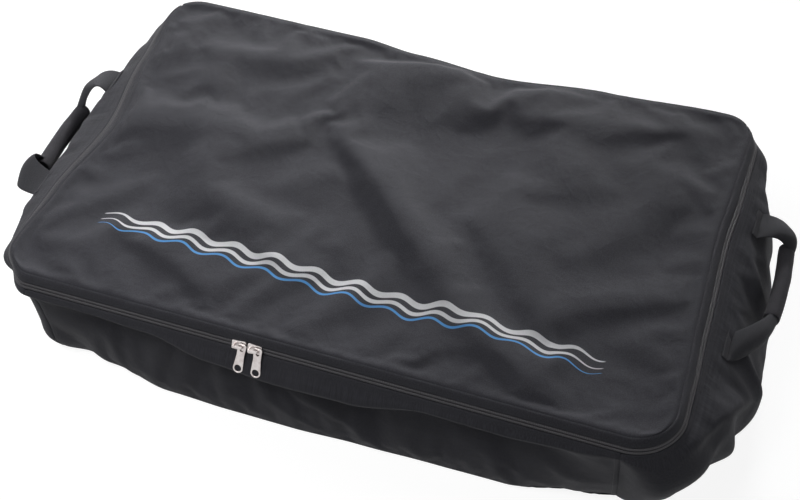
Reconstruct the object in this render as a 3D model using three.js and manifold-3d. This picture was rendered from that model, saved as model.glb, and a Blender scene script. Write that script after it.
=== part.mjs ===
// Zipped carry bag of black woven cloth with two end handles, lying shut on its base.
// Units are millimetres, +X runs along the bag, +Y to the hinged back edge, +Z up.
import * as THREE from 'three';
import { mergeVertices } from 'three/addons/utils/BufferGeometryUtils.js';
import Module from 'manifold-3d';

// Size of the bag.
const lid_length = 850;
const lid_width = 550;
const lid_corner_radius = 50;
const bag_height = 180;
const lid_crown = 5;

// Cloth, tape and the gaps between layers.
const cloth_thickness = 1.5;
const base_thickness = 2;
const layer_gap = 0.5;
const seam_groove = 1.6;
const lid_fold_rise = 12;
const lid_fold_reach = 40;
const lid_edge_run = 26;
const lid_hollow_run = 60;
const border_start = 0.5;
const binding_inset = 4;

// Shape of the walls: distances out from the lid's outline, and drops from its height.
const shoulder_out = 28;
const shoulder_drop = 50;
const fold_tuck = 30;
const belly_out = 80;
const belly_height = 63;
const floor_out = 60;
const edge_draw = 36;
const foot_round = 5;

// Zip, measured down the band from the lid's seam and up from the cloth's face.
const band_width = 26.5;
const border_width = 9;
const tape_start = 6;
const tape_thickness = 0.8;
const chain_centre = 16;
const coil_width = 3.2;
const coil_height = 2.7;
const coil_parting = 1.4;
const coil_taper = 0.5;
const wall_overlap = 3.5;
const stop_length = 4;

// Slider, bridge and pull.
const slider_length = 18;
const slider_nose_width = 13;
const slider_tail_width = 11;
const slider_plate = 1.5;
const slider_clearance = 0.5;
const slider_bevel = 0.35;
const slider_post_length = 5;
const slider_post_width = 0.7;
const bridge_length = 13;
const bridge_width = 3;
const bridge_bar = 1.8;
const bridge_eye_height = 5.2;
const pull_length = 39.5;
const pull_foot_width = 12.6;
const pull_waist_width = 9.8;
const pull_waist_drop = 15;
const pull_head_width = 10.8;
const pull_head_corner = 3;
const pull_thickness = 1.6;
const pull_slot_width = 4.6;
const pull_slot_length = 8.2;
const pull_head_bar = 2;
const pull_hole = 9;
const pull_rise = 2.2;
const pull_tilt_degrees = 3.5;
const left_slider_x = -87;
const right_slider_x = -67;
const left_pull_lean_degrees = 6;
const right_pull_lean_degrees = 1;

// Handles.
const webbing_width = 45;
const webbing_thickness = 2;
const folded_width = 16;
const folded_thickness = 5;
const grip_length = 120;
const grip_depth = 21;
const grip_height = 25;
const grip_bore_depth = 12;
const grip_bore_height = 21;
const grip_bow = 3;
const grip_edge_round = 2;
const straight_run = 8;
const tab_length = 9;
const tab_overrun = 1.5;
const hinge_clearance = 0.2;
const right_handle = {
  side: 1,
  back_root: 116,
  front_root: -86,
  reach: 38,
  drop: 22,
  slip: 46,
  back_pull: 46,
  front_pull: 38,
};
const left_handle = {
  side: -1,
  back_root: 104,
  front_root: -104,
  reach: 28,
  drop: 26,
  slip: 2,
  back_pull: 46,
  front_pull: 60,
};
const leg_pull_along = 28;

// Bindings over the raw edges inside.
const binding_thickness = 1.3;
const binding_height = 9;
const corner_binding_depth = 6;
const corner_binding_setback = 5;

// Fineness of the facets.
const long_side_steps = 14;
const short_side_steps = 9;
const corner_steps = 5;
const wall_curve_steps = 10;
const round_steps = 16;

// How the walls stand at each place round the bag, as shares of the shape's sizes.
// Place 0 to 1 is the front, 2 to 3 the right end, 4 to 5 the back and 6 to 7 the left end,
// with the corners between them. Each row holds the place, then the shares for the shoulder's
// distance out, its drop, the tuck below it, the belly, the floor and the drawn-in edge.
const wall_shares = [
  [0.0, 0.5, 0.5, 0.3, -0.15, -0.42, 0.0],
  [0.05, 0.51, 0.51, 0.3, -0.13, -0.48, 0.0],
  [0.1, 0.52, 0.52, 0.3, -0.1, -0.32, 0.0],
  [0.22, 0.58, 0.58, 0.3, -0.04, -0.04, 0.0],
  [0.33, 0.86, 0.86, 0.45, -0.06, 0.0, 0.0],
  [0.45, 0.97, 0.97, 0.5, -0.06, 0.0, 0.0],
  [0.57, 0.94, 0.94, 0.5, -0.1, -0.06, 0.0],
  [0.7, 0.66, 0.66, 0.4, -0.1, -0.1, 0.0],
  [0.82, 0.68, 0.68, 0.35, -0.1, -0.12, 0.0],
  [0.93, 0.6, 0.6, 0.2, -0.1, -0.42, 0.0],
  [1.0, 0.5, 0.5, 0.0, -0.12, -0.6, 0.0],
  [1.5, 0.75, 0.8, -0.5, 0.12, -0.6, 0.0],
  [2.0, 1.0, 0.78, -0.6, 0.3, -0.12, 0.0],
  [2.12, 1.15, 0.76, -0.45, 0.78, 0.44, 0.05],
  [2.28, 1.3, 0.76, -0.25, 1.03, 0.95, 0.15],
  [2.6, 1.3, 0.76, -0.2, 0.92, 0.92, 0.25],
  [2.8, 1.28, 0.76, -0.15, 0.68, 0.6, 0.12],
  [3.0, 0.95, 0.8, -0.05, 0.22, 0.1, 0.0],
  [3.5, 0.45, 0.75, 0.0, 0.1, 0.0, 0.0],
  [4.0, 0.1, 0.7, -0.05, 0.12, 0.0, 0.15],
  [4.2, -0.1, 0.7, -0.05, 0.1, 0.0, 0.4],
  [4.4, -0.5, 0.7, -0.1, 0.1, 0.0, 0.85],
  [4.56, -0.3, 0.7, -0.1, 0.12, 0.0, 0.55],
  [4.68, 0.0, 0.7, -0.05, 0.14, 0.0, 0.25],
  [5.0, 0.1, 0.7, -0.05, 0.14, 0.0, 0.15],
  [5.5, 0.5, 0.75, 0.0, 0.12, 0.0, 0.1],
  [6.0, 0.8, 0.78, -0.05, 0.25, 0.1, 0.2],
  [6.2, 1.02, 0.74, -0.1, 0.5, 0.3, 0.5],
  [6.5, 1.05, 0.74, -0.1, 0.56, 0.35, 1.0],
  [6.8, 1.02, 0.74, -0.1, 0.3, 0.1, 0.5],
  [7.0, 0.5, 0.7, 0.2, -0.2, -0.3, 0.25],
  [7.5, -0.1, 0.55, 0.2, -0.24, -0.42, 0.2],
  [8.0, 0.5, 0.5, 0.3, -0.15, -0.42, 0.0],
];
const shoulder_share = 1 / 5;
const under_fold_share = 0.35;
const low_wall_share = 0.55;

// Folds of the lid's cloth. Each row holds shares of the reach to the left and right of the crest,
// then the crest's points: shares of half the lid's length, half its width and the fold's rise.
const lid_fold_shares = [
  [0.95, 0.575,
    [-0.247, 0.345, 0], [-0.153, 0.182, 0.583], [-0.042, 0, 0.917], [0.071, -0.182, 1],
    [0.2, -0.364, 0.917], [0.282, -0.491, 0.75], [0.376, -0.655, 0.667], [0.506, -0.771, 0.667],
    [0.659, -0.916, 0.25]],
  [0.95, 1.15,
    [-0.953, 0.109, 0.25], [-0.753, 0.109, 0.5], [-0.588, 0.087, 0.667], [-0.471, 0.08, 0.5],
    [-0.329, 0.175, 0]],
  [0.75, 1.05,
    [-0.522, 0.036, 0], [-0.555, -0.138, 0.75], [-0.513, -0.291, 0.75], [-0.376, -0.371, 0.583],
    [-0.224, -0.465, 0]],
  [0.325, 2.125,
    [-0.306, 0.749, 0], [-0.2, 0.771, 0.583], [-0.047, 0.822, 0.75], [0.082, 0.865, 0.417],
    [0.141, 0.895, 0]],
  [0.275, 1.15,
    [0.188, 0.756, 0], [0.259, 0.785, 0.417], [0.353, 0.836, 0.5], [0.471, 0.895, 0.167]],
  [0.8, 0.5,
    [0.047, 0.662, 0], [0.165, 0.647, 0.292], [0.353, 0.647, 0.375], [0.588, 0.698, 0.333],
    [0.941, 0.844, 0.167]],
  [0.65, 0.6,
    [-0.969, 0.647, 0.083], [-0.753, 0.625, 0.25], [-0.541, 0.647, 0.25], [-0.282, 0.793, 0]],
  [0.5, 0.6, [-0.976, 0.436, 0.083], [-0.706, 0.407, 0.167], [-0.424, 0.429, 0]],
  [1.5, 0.55,
    [0.235, 0.018, 0], [0.353, -0.164, 0.333], [0.471, -0.335, 0.375], [0.576, -0.509, 0.25],
    [0.706, -0.782, 0.167]],
  [0.75, 0.65, [0.4, 0.436, 0], [0.506, 0.32, 0.292], [0.682, 0.225, 0]],
  [0.75, 0.65, [0.306, -0.036, 0], [0.447, -0.102, 0.208], [0.659, -0.145, 0]],
  [0.85, 0.4,
    [-0.729, -0.625, 0], [-0.576, -0.691, 0.25], [-0.459, -0.753, 0.333], [-0.306, -0.898, 0.083]],
  [0.45, 0.5, [-0.941, -0.844, 0], [-0.824, -0.782, 0.167], [-0.706, -0.709, 0]],
  [0.65, 0.3, [-0.306, -0.509, 0], [-0.224, -0.582, 0.25], [-0.129, -0.669, 0]],
  [0.75, 0.5, [0.8, -0.436, 0], [0.906, -0.6, 0.208], [0.965, -0.782, 0]],
  [0.4, 0.85,
    [0.706, 0.545, 0], [0.824, 0.345, 0.167], [0.875, 0.145, 0.208], [0.894, -0.073, 0]],
];
const fold_falloff_share = 1.2;

// Wide rises and hollows of the lid: place along and across, reach along and across, and rise.
const lid_swell_shares = [
  [0.141, 0.073, 0.612, 0.545, 0.167],
  [0.094, 0.327, 0.306, 0.255, -0.667],
  [0.866, 0.091, 0.08, 0.189, -0.667],
  [-0.682, -0.255, 0.141, 0.255, -0.25],
  [0.776, -0.691, 0.212, 0.218, -0.333],
  [-0.141, -0.218, 0.165, 0.218, -0.167],
  [0.165, 0.953, 0.165, 0.109, -0.333],
  [0.588, 0.473, 0.282, 0.218, 0.167],
];

// Where the panels and the zip end, as places round the bag. The trip round has eight stretches.
const front_left_seam_share = 0;
const front_right_seam_share = 1;
const back_right_seam_share = 4;
const back_left_seam_share = 5;
const stretch_count = 8;
const zip_right_end_share = 3.4;
const zip_left_end_share = -2.4;
const front_right_corner_share = 1.6;
const back_right_corner_share = 3.4;
const back_left_corner_share = 5.6;
const front_left_corner_share = 7.4;

const finishes = {
  cloth: { color: 0x2a2a2e, roughness: 0.9, metalness: 0 },
  webbing: { color: 0x26262a, roughness: 0.85, metalness: 0 },
  tape: { color: 0x1f1f22, roughness: 0.9, metalness: 0 },
  coil: { color: 0x17171a, roughness: 0.5, metalness: 0 },
  nickel: { color: 0xb9b2b0, roughness: 0.35, metalness: 1 },
};

const wasm = await Module();
wasm.setup();

const bag = new THREE.Group();

function addPiece(parent, name, geometry, finish) {
  const mesh = new THREE.Mesh(geometry, new THREE.MeshStandardMaterial(finishes[finish]));
  mesh.name = name;
  parent.add(mesh);
  return mesh;
}

// Signed volume of a triangle list, which is negative when its faces point inwards.
function signedVolume(points, triangles) {
  const crossed = new THREE.Vector3();
  let six_times = 0;
  for (const [a, b, c] of triangles) {
    six_times += points[a].dot(crossed.crossVectors(points[b], points[c]));
  }
  return six_times / 6;
}

function closedBody(points, triangles) {
  const inside_out = signedVolume(points, triangles) < 0;
  const order = inside_out ? triangles.map(([a, b, c]) => [a, c, b]) : triangles;
  const geometry = new THREE.BufferGeometry();
  const numbers = points.flatMap((p) => p.toArray());
  geometry.setAttribute('position', new THREE.Float32BufferAttribute(numbers, 3));
  geometry.setIndex(order.flat());
  geometry.computeVertexNormals();
  return geometry;
}

function quad(triangles, a, b, c, d) {
  triangles.push([a, b, c], [a, c, d]);
}

// A sheet with thickness: two grids of points joined round their edges.
function sheetBody(outer, inner) {
  const rows = outer.length;
  const columns = outer[0].length;
  const points = [...outer.flat(), ...inner.flat()];
  const face = (i, j) => i * columns + j;
  const back = (i, j) => rows * columns + i * columns + j;
  const last = columns - 1;
  const triangles = [];
  for (let i = 0; i + 1 < rows; i++) {
    for (let j = 0; j + 1 < columns; j++) {
      quad(triangles, face(i, j), face(i + 1, j), face(i + 1, j + 1), face(i, j + 1));
      quad(triangles, back(i, j), back(i, j + 1), back(i + 1, j + 1), back(i + 1, j));
    }
    quad(triangles, face(i, 0), back(i, 0), back(i + 1, 0), face(i + 1, 0));
    quad(triangles, face(i + 1, last), back(i + 1, last), back(i, last), face(i, last));
  }
  for (let j = 0; j + 1 < columns; j++) {
    quad(triangles, face(0, j + 1), back(0, j + 1), back(0, j), face(0, j));
    quad(triangles, face(rows - 1, j), back(rows - 1, j), back(rows - 1, j + 1), face(rows - 1, j + 1));
  }
  return closedBody(points, triangles);
}

// A bar through a list of sections, each a ring of points in the same order.
function loftBody(sections, joins_up = false) {
  const count = sections.length;
  const sides = sections[0].length;
  const points = sections.flat();
  const triangles = [];
  const spans = joins_up ? count : count - 1;
  for (let i = 0; i < spans; i++) {
    const next = (i + 1) % count;
    for (let k = 0; k < sides; k++) {
      const beside = (k + 1) % sides;
      quad(triangles, i * sides + k, next * sides + k, next * sides + beside, i * sides + beside);
    }
  }
  if (!joins_up) {
    const last = (count - 1) * sides;
    for (let k = 1; k + 1 < sides; k++) {
      triangles.push([0, k, k + 1]);
      triangles.push([last, last + k + 1, last + k]);
    }
  }
  return closedBody(points, triangles);
}

// A tube through paired rings, open at both ends.
function tubeBody(outer_rings, inner_rings) {
  const count = outer_rings.length;
  const sides = outer_rings[0].length;
  const points = [...outer_rings.flat(), ...inner_rings.flat()];
  const face = (i, k) => i * sides + (k % sides);
  const bore = (i, k) => count * sides + i * sides + (k % sides);
  const triangles = [];
  for (let k = 0; k < sides; k++) {
    for (let i = 0; i + 1 < count; i++) {
      quad(triangles, face(i, k), face(i + 1, k), face(i + 1, k + 1), face(i, k + 1));
      quad(triangles, bore(i, k), bore(i, k + 1), bore(i + 1, k + 1), bore(i + 1, k));
    }
    quad(triangles, face(0, k), face(0, k + 1), bore(0, k + 1), bore(0, k));
    quad(triangles, face(count - 1, k), bore(count - 1, k), bore(count - 1, k + 1), face(count - 1, k + 1));
  }
  return closedBody(points, triangles);
}

function solidOf(geometry) {
  const bare = geometry.clone();
  bare.deleteAttribute('normal');
  bare.deleteAttribute('uv');
  const merged = mergeVertices(bare);
  const vertProperties = new Float32Array(merged.attributes.position.array);
  const triVerts = new Uint32Array(merged.index.array);
  return new wasm.Manifold(new wasm.Mesh({ numProp: 3, vertProperties, triVerts }));
}

function geometryOf(solid) {
  const mesh = solid.getMesh();
  const geometry = new THREE.BufferGeometry();
  geometry.setAttribute('position', new THREE.BufferAttribute(new Float32Array(mesh.vertProperties), 3));
  geometry.setIndex(new THREE.BufferAttribute(new Uint32Array(mesh.triVerts), 1));
  geometry.computeVertexNormals();
  return geometry;
}

function boxBetween(low, high) {
  const size = high.clone().sub(low);
  const box = new THREE.BoxGeometry(size.x, size.y, size.z);
  const middle = low.clone().add(high).multiplyScalar(0.5);
  return box.translate(middle.x, middle.y, middle.z);
}

// Outline of the lid: a point on it and the direction that faces out, for a place round the bag.
const straight_x = lid_length / 2 - lid_corner_radius;
const straight_y = lid_width / 2 - lid_corner_radius;

function outlineAt(place) {
  const turn = ((place % stretch_count) + stretch_count) % stretch_count;
  const stretch = Math.floor(turn);
  const along = turn - stretch;
  const quarter = Math.floor(stretch / 2);
  const facing = (quarter - 1) * (Math.PI / 2);
  if (stretch % 2 === 1) {
    const angle = facing + along * (Math.PI / 2);
    const out = new THREE.Vector2(Math.cos(angle), Math.sin(angle));
    const centre_x = quarter === 0 || quarter === 1 ? straight_x : -straight_x;
    const centre_y = quarter === 1 || quarter === 2 ? straight_y : -straight_y;
    return { x: centre_x + out.x * lid_corner_radius, y: centre_y + out.y * lid_corner_radius, out };
  }
  const step = 2 * along - 1;
  const out = new THREE.Vector2(Math.round(Math.cos(facing)), Math.round(Math.sin(facing)));
  const run = new THREE.Vector2(-out.y, out.x);
  const x = out.x * (lid_length / 2) + run.x * step * straight_x;
  const y = out.y * (lid_width / 2) + run.y * step * straight_y;
  return { x, y, out };
}

// Length of one unit of place, along the lid's outline.
function lengthOfStretch(place) {
  const stretch = Math.floor(((place % stretch_count) + stretch_count) % stretch_count);
  if (stretch % 2 === 1) return (Math.PI / 2) * lid_corner_radius;
  return stretch % 4 === 0 ? 2 * straight_x : 2 * straight_y;
}

function stepsOfStretch(stretch) {
  const wrapped = ((stretch % stretch_count) + stretch_count) % stretch_count;
  if (wrapped % 2 === 1) return corner_steps;
  return wrapped % 4 === 0 ? long_side_steps : short_side_steps;
}

// Places from one to another, with the breaks that every neighbouring piece shares.
const nearest_break_share = 1e-3;

function placesBetween(first, last) {
  const places = [first];
  for (let stretch = Math.floor(first); stretch < last; stretch++) {
    const steps = stepsOfStretch(stretch);
    for (let i = 0; i < steps; i++) {
      const place = stretch + i / steps;
      if (place > first + nearest_break_share && place < last - nearest_break_share) places.push(place);
    }
  }
  places.push(last);
  return places;
}

// The wall's sizes at a place, eased from row to row of the shares.
function wallAt(place) {
  const turn = ((place % stretch_count) + stretch_count) % stretch_count;
  let row = 0;
  while (wall_shares[row + 1][0] < turn) row++;
  const [before, after] = [wall_shares[row], wall_shares[row + 1]];
  const along = (turn - before[0]) / (after[0] - before[0]);
  const eased = THREE.MathUtils.smoothstep(along, 0, 1);
  const share = (k) => before[k] + (after[k] - before[k]) * eased;
  return {
    shoulder: new THREE.Vector2(share(1) * shoulder_out, bag_height - share(2) * shoulder_drop),
    tuck: share(3) * fold_tuck,
    belly: share(4) * belly_out,
    floor: share(5) * floor_out,
    draw: share(6) * edge_draw,
  };
}

// Direction down the band from the lid's seam to the shoulder, as out and up.
function bandDirection(place) {
  const wall = wallAt(place);
  return wall.shoulder.clone().sub(new THREE.Vector2(-wall.draw, bag_height)).normalize();
}

function bandPlane(place, across, proud) {
  const seam = new THREE.Vector2(-wallAt(place).draw, bag_height);
  const down = bandDirection(place);
  const face = new THREE.Vector2(-down.y, down.x);
  return seam.addScaledVector(down, across).addScaledVector(face, proud);
}

function wallCurve(place) {
  const wall = wallAt(place);
  const top = bandPlane(place, band_width, 0);
  const belly = new THREE.Vector2(wall.belly, belly_height);
  const foot = new THREE.Vector2(wall.floor, base_thickness + layer_gap);
  const under = wall.shoulder.clone().lerp(belly, under_fold_share);
  under.x -= wall.tuck;
  const low = belly.clone().lerp(foot, low_wall_share);
  low.x += foot_round;
  const through = [top, wall.shoulder, under, belly, low, foot];
  const points = through.map((p) => new THREE.Vector3(p.x, p.y, 0));
  return new THREE.CatmullRomCurve3(points, false, 'centripetal');
}

function wallPlane(curve, share, proud) {
  const point = curve.getPoint(share);
  const down = curve.getTangent(share);
  return new THREE.Vector2(point.x - down.y * proud, point.y + down.x * proud);
}

// From the plane that stands out of the outline at a break into space.
function standAt(place, plane) {
  const spot = outlineAt(place);
  return new THREE.Vector3(spot.x + spot.out.x * plane.x, spot.y + spot.out.y * plane.x, plane.y);
}

// A point of the bag at any place. Between two breaks it lies on the flat facet that joins them.
function pointAt(place, planeAt) {
  const stretch = Math.floor(place);
  const steps = stepsOfStretch(stretch);
  const step = Math.floor((place - stretch) * steps + nearest_break_share);
  const before = stretch + step / steps;
  const share = (place - before) * steps;
  const start = standAt(before, planeAt(before));
  if (share < nearest_break_share) return start;
  const after = before + 1 / steps;
  return start.lerp(standAt(after, planeAt(after)), share);
}

function bandPoint(place, across, proud) {
  return pointAt(place, (at) => bandPlane(at, across, proud));
}

function wallPoint(place, share, proud) {
  return pointAt(place, (at) => wallPlane(wallCurve(at), share, proud));
}

function bandStrip(first, last, from, to, low, high, taper = 0) {
  const places = placesBetween(first, last);
  const face = places.map((place) => [
    bandPoint(place, from + taper, high),
    bandPoint(place, to - taper, high),
  ]);
  const back = places.map((place) => [bandPoint(place, from, low), bandPoint(place, to, low)]);
  return sheetBody(face, back);
}

function wallPanel(first, last) {
  const edge = band_width - wall_overlap;
  const column = (place, proud) => {
    const points = [bandPoint(place, edge, proud)];
    for (let i = 0; i <= wall_curve_steps; i++) points.push(wallPoint(place, i / wall_curve_steps, proud));
    return points;
  };
  const places = placesBetween(first, last);
  const outside = places.map((place) => column(place, 0));
  const inside = places.map((place) => column(place, -cloth_thickness));
  return sheetBody(outside, inside);
}

// A disc across the bag from an outline of points, flat or crowned.
function discBody(rings_top, rings_bottom, middle_top, middle_bottom) {
  const count = rings_top[0].length;
  const rings = rings_top.length;
  const points = [...rings_top.flat(), ...rings_bottom.flat(), middle_top, middle_bottom];
  const top = (r, i) => r * count + (i % count);
  const bottom = (r, i) => rings * count + r * count + (i % count);
  const centre_top = 2 * rings * count;
  const centre_bottom = centre_top + 1;
  const triangles = [];
  for (let i = 0; i < count; i++) {
    for (let r = 0; r + 1 < rings; r++) {
      quad(triangles, top(r, i), top(r, i + 1), top(r + 1, i + 1), top(r + 1, i));
      quad(triangles, bottom(r, i), bottom(r + 1, i), bottom(r + 1, i + 1), bottom(r, i + 1));
    }
    quad(triangles, top(0, i), bottom(0, i), bottom(0, i + 1), top(0, i + 1));
    triangles.push([top(rings - 1, i), top(rings - 1, i + 1), centre_top]);
    triangles.push([bottom(rings - 1, i + 1), bottom(rings - 1, i), centre_bottom]);
  }
  return closedBody(points, triangles);
}

const all_places = placesBetween(0, stretch_count).slice(0, -1);

function basePanel() {
  const outline = all_places.map((place) => standAt(place, new THREE.Vector2(wallAt(place).floor, 0)));
  const raised = outline.map((p) => p.clone().setZ(base_thickness));
  const middle = new THREE.Vector3();
  return discBody([raised], [outline], middle.clone().setZ(base_thickness), middle);
}

// Height of the lid's folds above a spot of it.
function foldRise(spot) {
  let total = 0;
  for (const [left, right, ...crest] of lid_fold_shares) {
    const line = crest.map(([x, y, rise]) =>
      new THREE.Vector3((x * lid_length) / 2, (y * lid_width) / 2, rise * lid_fold_rise));
    let nearest = Infinity;
    let rise_here = 0;
    for (let i = 0; i + 1 < line.length; i++) {
      const run = line[i + 1].clone().sub(line[i]).setZ(0);
      const away = spot.clone().sub(line[i]).setZ(0);
      const along = THREE.MathUtils.clamp(away.dot(run) / run.lengthSq(), 0, 1);
      away.addScaledVector(run, -along);
      if (away.length() >= nearest) continue;
      nearest = away.length();
      const reach = lid_fold_reach * (run.x * away.y > run.y * away.x ? left : right);
      const fall = Math.exp(-fold_falloff_share * (nearest / reach) ** 2);
      rise_here = THREE.MathUtils.lerp(line[i].z, line[i + 1].z, along) * fall;
    }
    total += rise_here;
  }
  return total;
}

function swellRise(spot) {
  let total = 0;
  for (const [x, y, reach_x, reach_y, rise] of lid_swell_shares) {
    const along = (spot.x / (lid_length / 2) - x) / reach_x;
    const across = (spot.y / (lid_width / 2) - y) / reach_y;
    total += rise * lid_fold_rise * Math.exp(-(along ** 2) - across ** 2);
  }
  return total;
}

// Places along one side of the lid, with a break halfway along each step of the straight.
function lidPlaces(first, last) {
  const places = placesBetween(first, last);
  return places.flatMap((place, i) => {
    const on_straight = i + 1 < places.length && Math.floor(place + nearest_break_share) % 2 === 0;
    return on_straight ? [place, (place + places[i + 1]) / 2] : [place];
  });
}

// The lid's cloth, on a grid stretched between the four sides of its outline.
function lidPanel() {
  const edgeAt = (place) =>
    pointAt(place, (at) => new THREE.Vector2(-wallAt(at).draw - seam_groove, bag_height));
  const side = (first, last) => lidPlaces(first, last).map(edgeAt);
  const front = side(front_left_corner_share - stretch_count, front_right_corner_share);
  const right = side(front_right_corner_share, back_right_corner_share);
  const back = side(back_right_corner_share, back_left_corner_share).reverse();
  const left = side(back_left_corner_share, front_left_corner_share).reverse();
  const edge = [...front, ...right, ...back, ...left];
  const raise = (spot) => {
    const crown = (1 - (spot.x / (lid_length / 2)) ** 2) * (1 - (spot.y / (lid_width / 2)) ** 2);
    const rise = lid_crown * crown + foldRise(spot) + swellRise(spot);
    const inset = Math.min(...edge.map((point) => point.distanceTo(spot)));
    const run = rise > 0 ? lid_edge_run : lid_hollow_run;
    return spot.setZ(bag_height + rise * THREE.MathUtils.smoothstep(inset, 0, run));
  };
  const outside = left.map((at_left, row) => front.map((at_front, column) => {
    const along = column / (front.length - 1);
    const across = row / (left.length - 1);
    const between_ends = at_left.clone().lerp(right[row], along);
    const between_sides = at_front.clone().lerp(back[column], across);
    const front_line = front[0].clone().lerp(right[0], along);
    const back_line = back[0].clone().lerp(right[left.length - 1], along);
    return raise(between_ends.add(between_sides).sub(front_line.lerp(back_line, across)));
  }));
  const inside = outside.map((row) => row.map((spot) => spot.clone().setZ(spot.z - cloth_thickness)));
  return sheetBody(outside, inside);
}

// A binding that stands on edge all round, from one offset to another.
function edgeBinding(outOf, low, high) {
  const sections = all_places.map((place) => {
    const outer = outOf(wallAt(place));
    const inner = outer - binding_thickness;
    const corners = [[outer, high], [outer, low], [inner, low], [inner, high]];
    return corners.map(([out, up]) => standAt(place, new THREE.Vector2(out, up)));
  });
  return loftBody(sections, true);
}

// A binding down a wall seam, inside the bag.
const corner_binding_first_share = 0.1;
const corner_binding_last_share = 0.9;
const corner_binding_steps = 8;

function cornerBinding(place) {
  const half = binding_thickness / 2;
  const start = cloth_thickness + layer_gap;
  const finish = start + corner_binding_depth;
  const corners = [[-half, start], [half, start], [half, finish], [-half, finish]];
  const spot = outlineAt(place);
  const run = new THREE.Vector3(-spot.out.y, spot.out.x, 0);
  const sections = [];
  for (let i = 0; i <= corner_binding_steps; i++) {
    const reach = corner_binding_last_share - corner_binding_first_share;
    const share = corner_binding_first_share + (i / corner_binding_steps) * reach;
    sections.push(corners.map(([beside, depth]) =>
      wallPoint(place, share, -depth).addScaledVector(run, beside)));
  }
  return loftBody(sections);
}

// Cloth panels of the body, which meet edge to edge at the four seams.
function besideSeam(place, side) {
  const middle_of_stretch = place + side / 2;
  return place + (side * layer_gap) / 2 / lengthOfStretch(middle_of_stretch);
}

const wall_runs = {
  front_wall: [front_left_seam_share, front_right_seam_share],
  right_end_wall: [front_right_seam_share, back_right_seam_share],
  back_wall: [back_right_seam_share, back_left_seam_share],
  left_end_wall: [back_left_seam_share, front_left_seam_share + stretch_count],
};

addPiece(bag, 'base_panel', basePanel(), 'cloth');
for (const [name, [first, last]] of Object.entries(wall_runs)) {
  addPiece(bag, name, wallPanel(besideSeam(first, 1), besideSeam(last, -1)), 'cloth');
}

const base_binding_low = base_thickness + layer_gap;
const baseBindingOut = (wall) => wall.floor - cloth_thickness - layer_gap;
const base_binding_high = base_binding_low + binding_height;
const baseBinding = edgeBinding(baseBindingOut, base_binding_low, base_binding_high);
addPiece(bag, 'base_seam_binding', baseBinding, 'tape');

const setback = corner_binding_setback / (2 * straight_x);
const corner_seams = {
  front_left: front_left_seam_share + setback,
  front_right: front_right_seam_share - setback,
  back_right: back_right_seam_share + setback,
  back_left: back_left_seam_share - setback,
};
for (const [corner, place] of Object.entries(corner_seams)) {
  addPiece(bag, `${corner}_seam_binding`, cornerBinding(place), 'tape');
}

// Zip tapes and coils, and the cloth strip that hinges the lid at the back.
const tape_high = -cloth_thickness - layer_gap;
const tape_low = tape_high - tape_thickness;
const coil_low = tape_high + layer_gap;
const coil_high = coil_low + coil_height;
const lid_coil_edge = chain_centre - coil_parting / 2;
const body_coil_edge = chain_centre + coil_parting / 2;
const tape_end = band_width - 2 * layer_gap - cloth_thickness / 2;

function coilRow(from, to) {
  return bandStrip(zip_left_end_share, zip_right_end_share, from, to, coil_low, coil_high, coil_taper);
}

const stop_span = (stop_length + layer_gap) / lengthOfStretch(zip_right_end_share);
const stop_gap = layer_gap / lengthOfStretch(zip_right_end_share);
const tape_right_end = zip_right_end_share + stop_span;
const tape_left_end = zip_left_end_share - stop_span;

const bodyTape = bandStrip(tape_left_end, tape_right_end, body_coil_edge, tape_end, tape_low, tape_high);
addPiece(bag, 'zip_tape_body', bodyTape, 'tape');
addPiece(bag, 'zip_coil_body', coilRow(body_coil_edge, body_coil_edge + coil_width), 'coil');

function zipStop(first, last) {
  const from = body_coil_edge;
  const to = body_coil_edge + coil_width;
  return bandStrip(first, last, from, to, coil_low, coil_high);
}

addPiece(bag, 'zip_stop_right', zipStop(zip_right_end_share + stop_gap, tape_right_end), 'nickel');
addPiece(bag, 'zip_stop_left', zipStop(tape_left_end, zip_left_end_share - stop_gap), 'nickel');

const hinge_start = tape_right_end + stop_gap;
const hinge_end = tape_left_end - stop_gap + stretch_count;
const hinge_reach = band_width - wall_overlap - 2 * layer_gap;
const hingeStrip = bandStrip(hinge_start, hinge_end, border_start, hinge_reach, -cloth_thickness, 0);
addPiece(bag, 'back_hinge_strip', hingeStrip, 'cloth');

// Lid: panel, border of cloth, bound seam, tape and coil.
addPiece(bag, 'lid_panel', lidPanel(), 'cloth');
function lidStrip(from, to, low, high) {
  return bandStrip(zip_left_end_share, zip_right_end_share, from, to, low, high);
}

addPiece(bag, 'lid_border', lidStrip(border_start, border_width, -cloth_thickness, 0), 'cloth');
addPiece(bag, 'zip_tape_lid', lidStrip(tape_start, lid_coil_edge, tape_low, tape_high), 'tape');
addPiece(bag, 'zip_coil_lid', coilRow(lid_coil_edge - coil_width, lid_coil_edge), 'coil');

const lid_binding_high = bag_height - cloth_thickness - layer_gap;
const lidBindingOut = (wall) => -wall.draw - binding_inset;
const lid_binding_low = lid_binding_high - binding_height;
addPiece(bag, 'lid_seam_binding', edgeBinding(lidBindingOut, lid_binding_low, lid_binding_high), 'tape');

// Slider: two plates joined by a post between the coils, with lips round them and a bridge on top.
const channel_low = tape_low - slider_clearance;
const channel_high = coil_high + slider_clearance;
const channel_width = 2 * coil_width + coil_parting + 2 * slider_clearance;
const plate_top = channel_high + slider_plate;
const plate_bottom = channel_low - slider_plate;
const overrun = slider_length;

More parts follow.
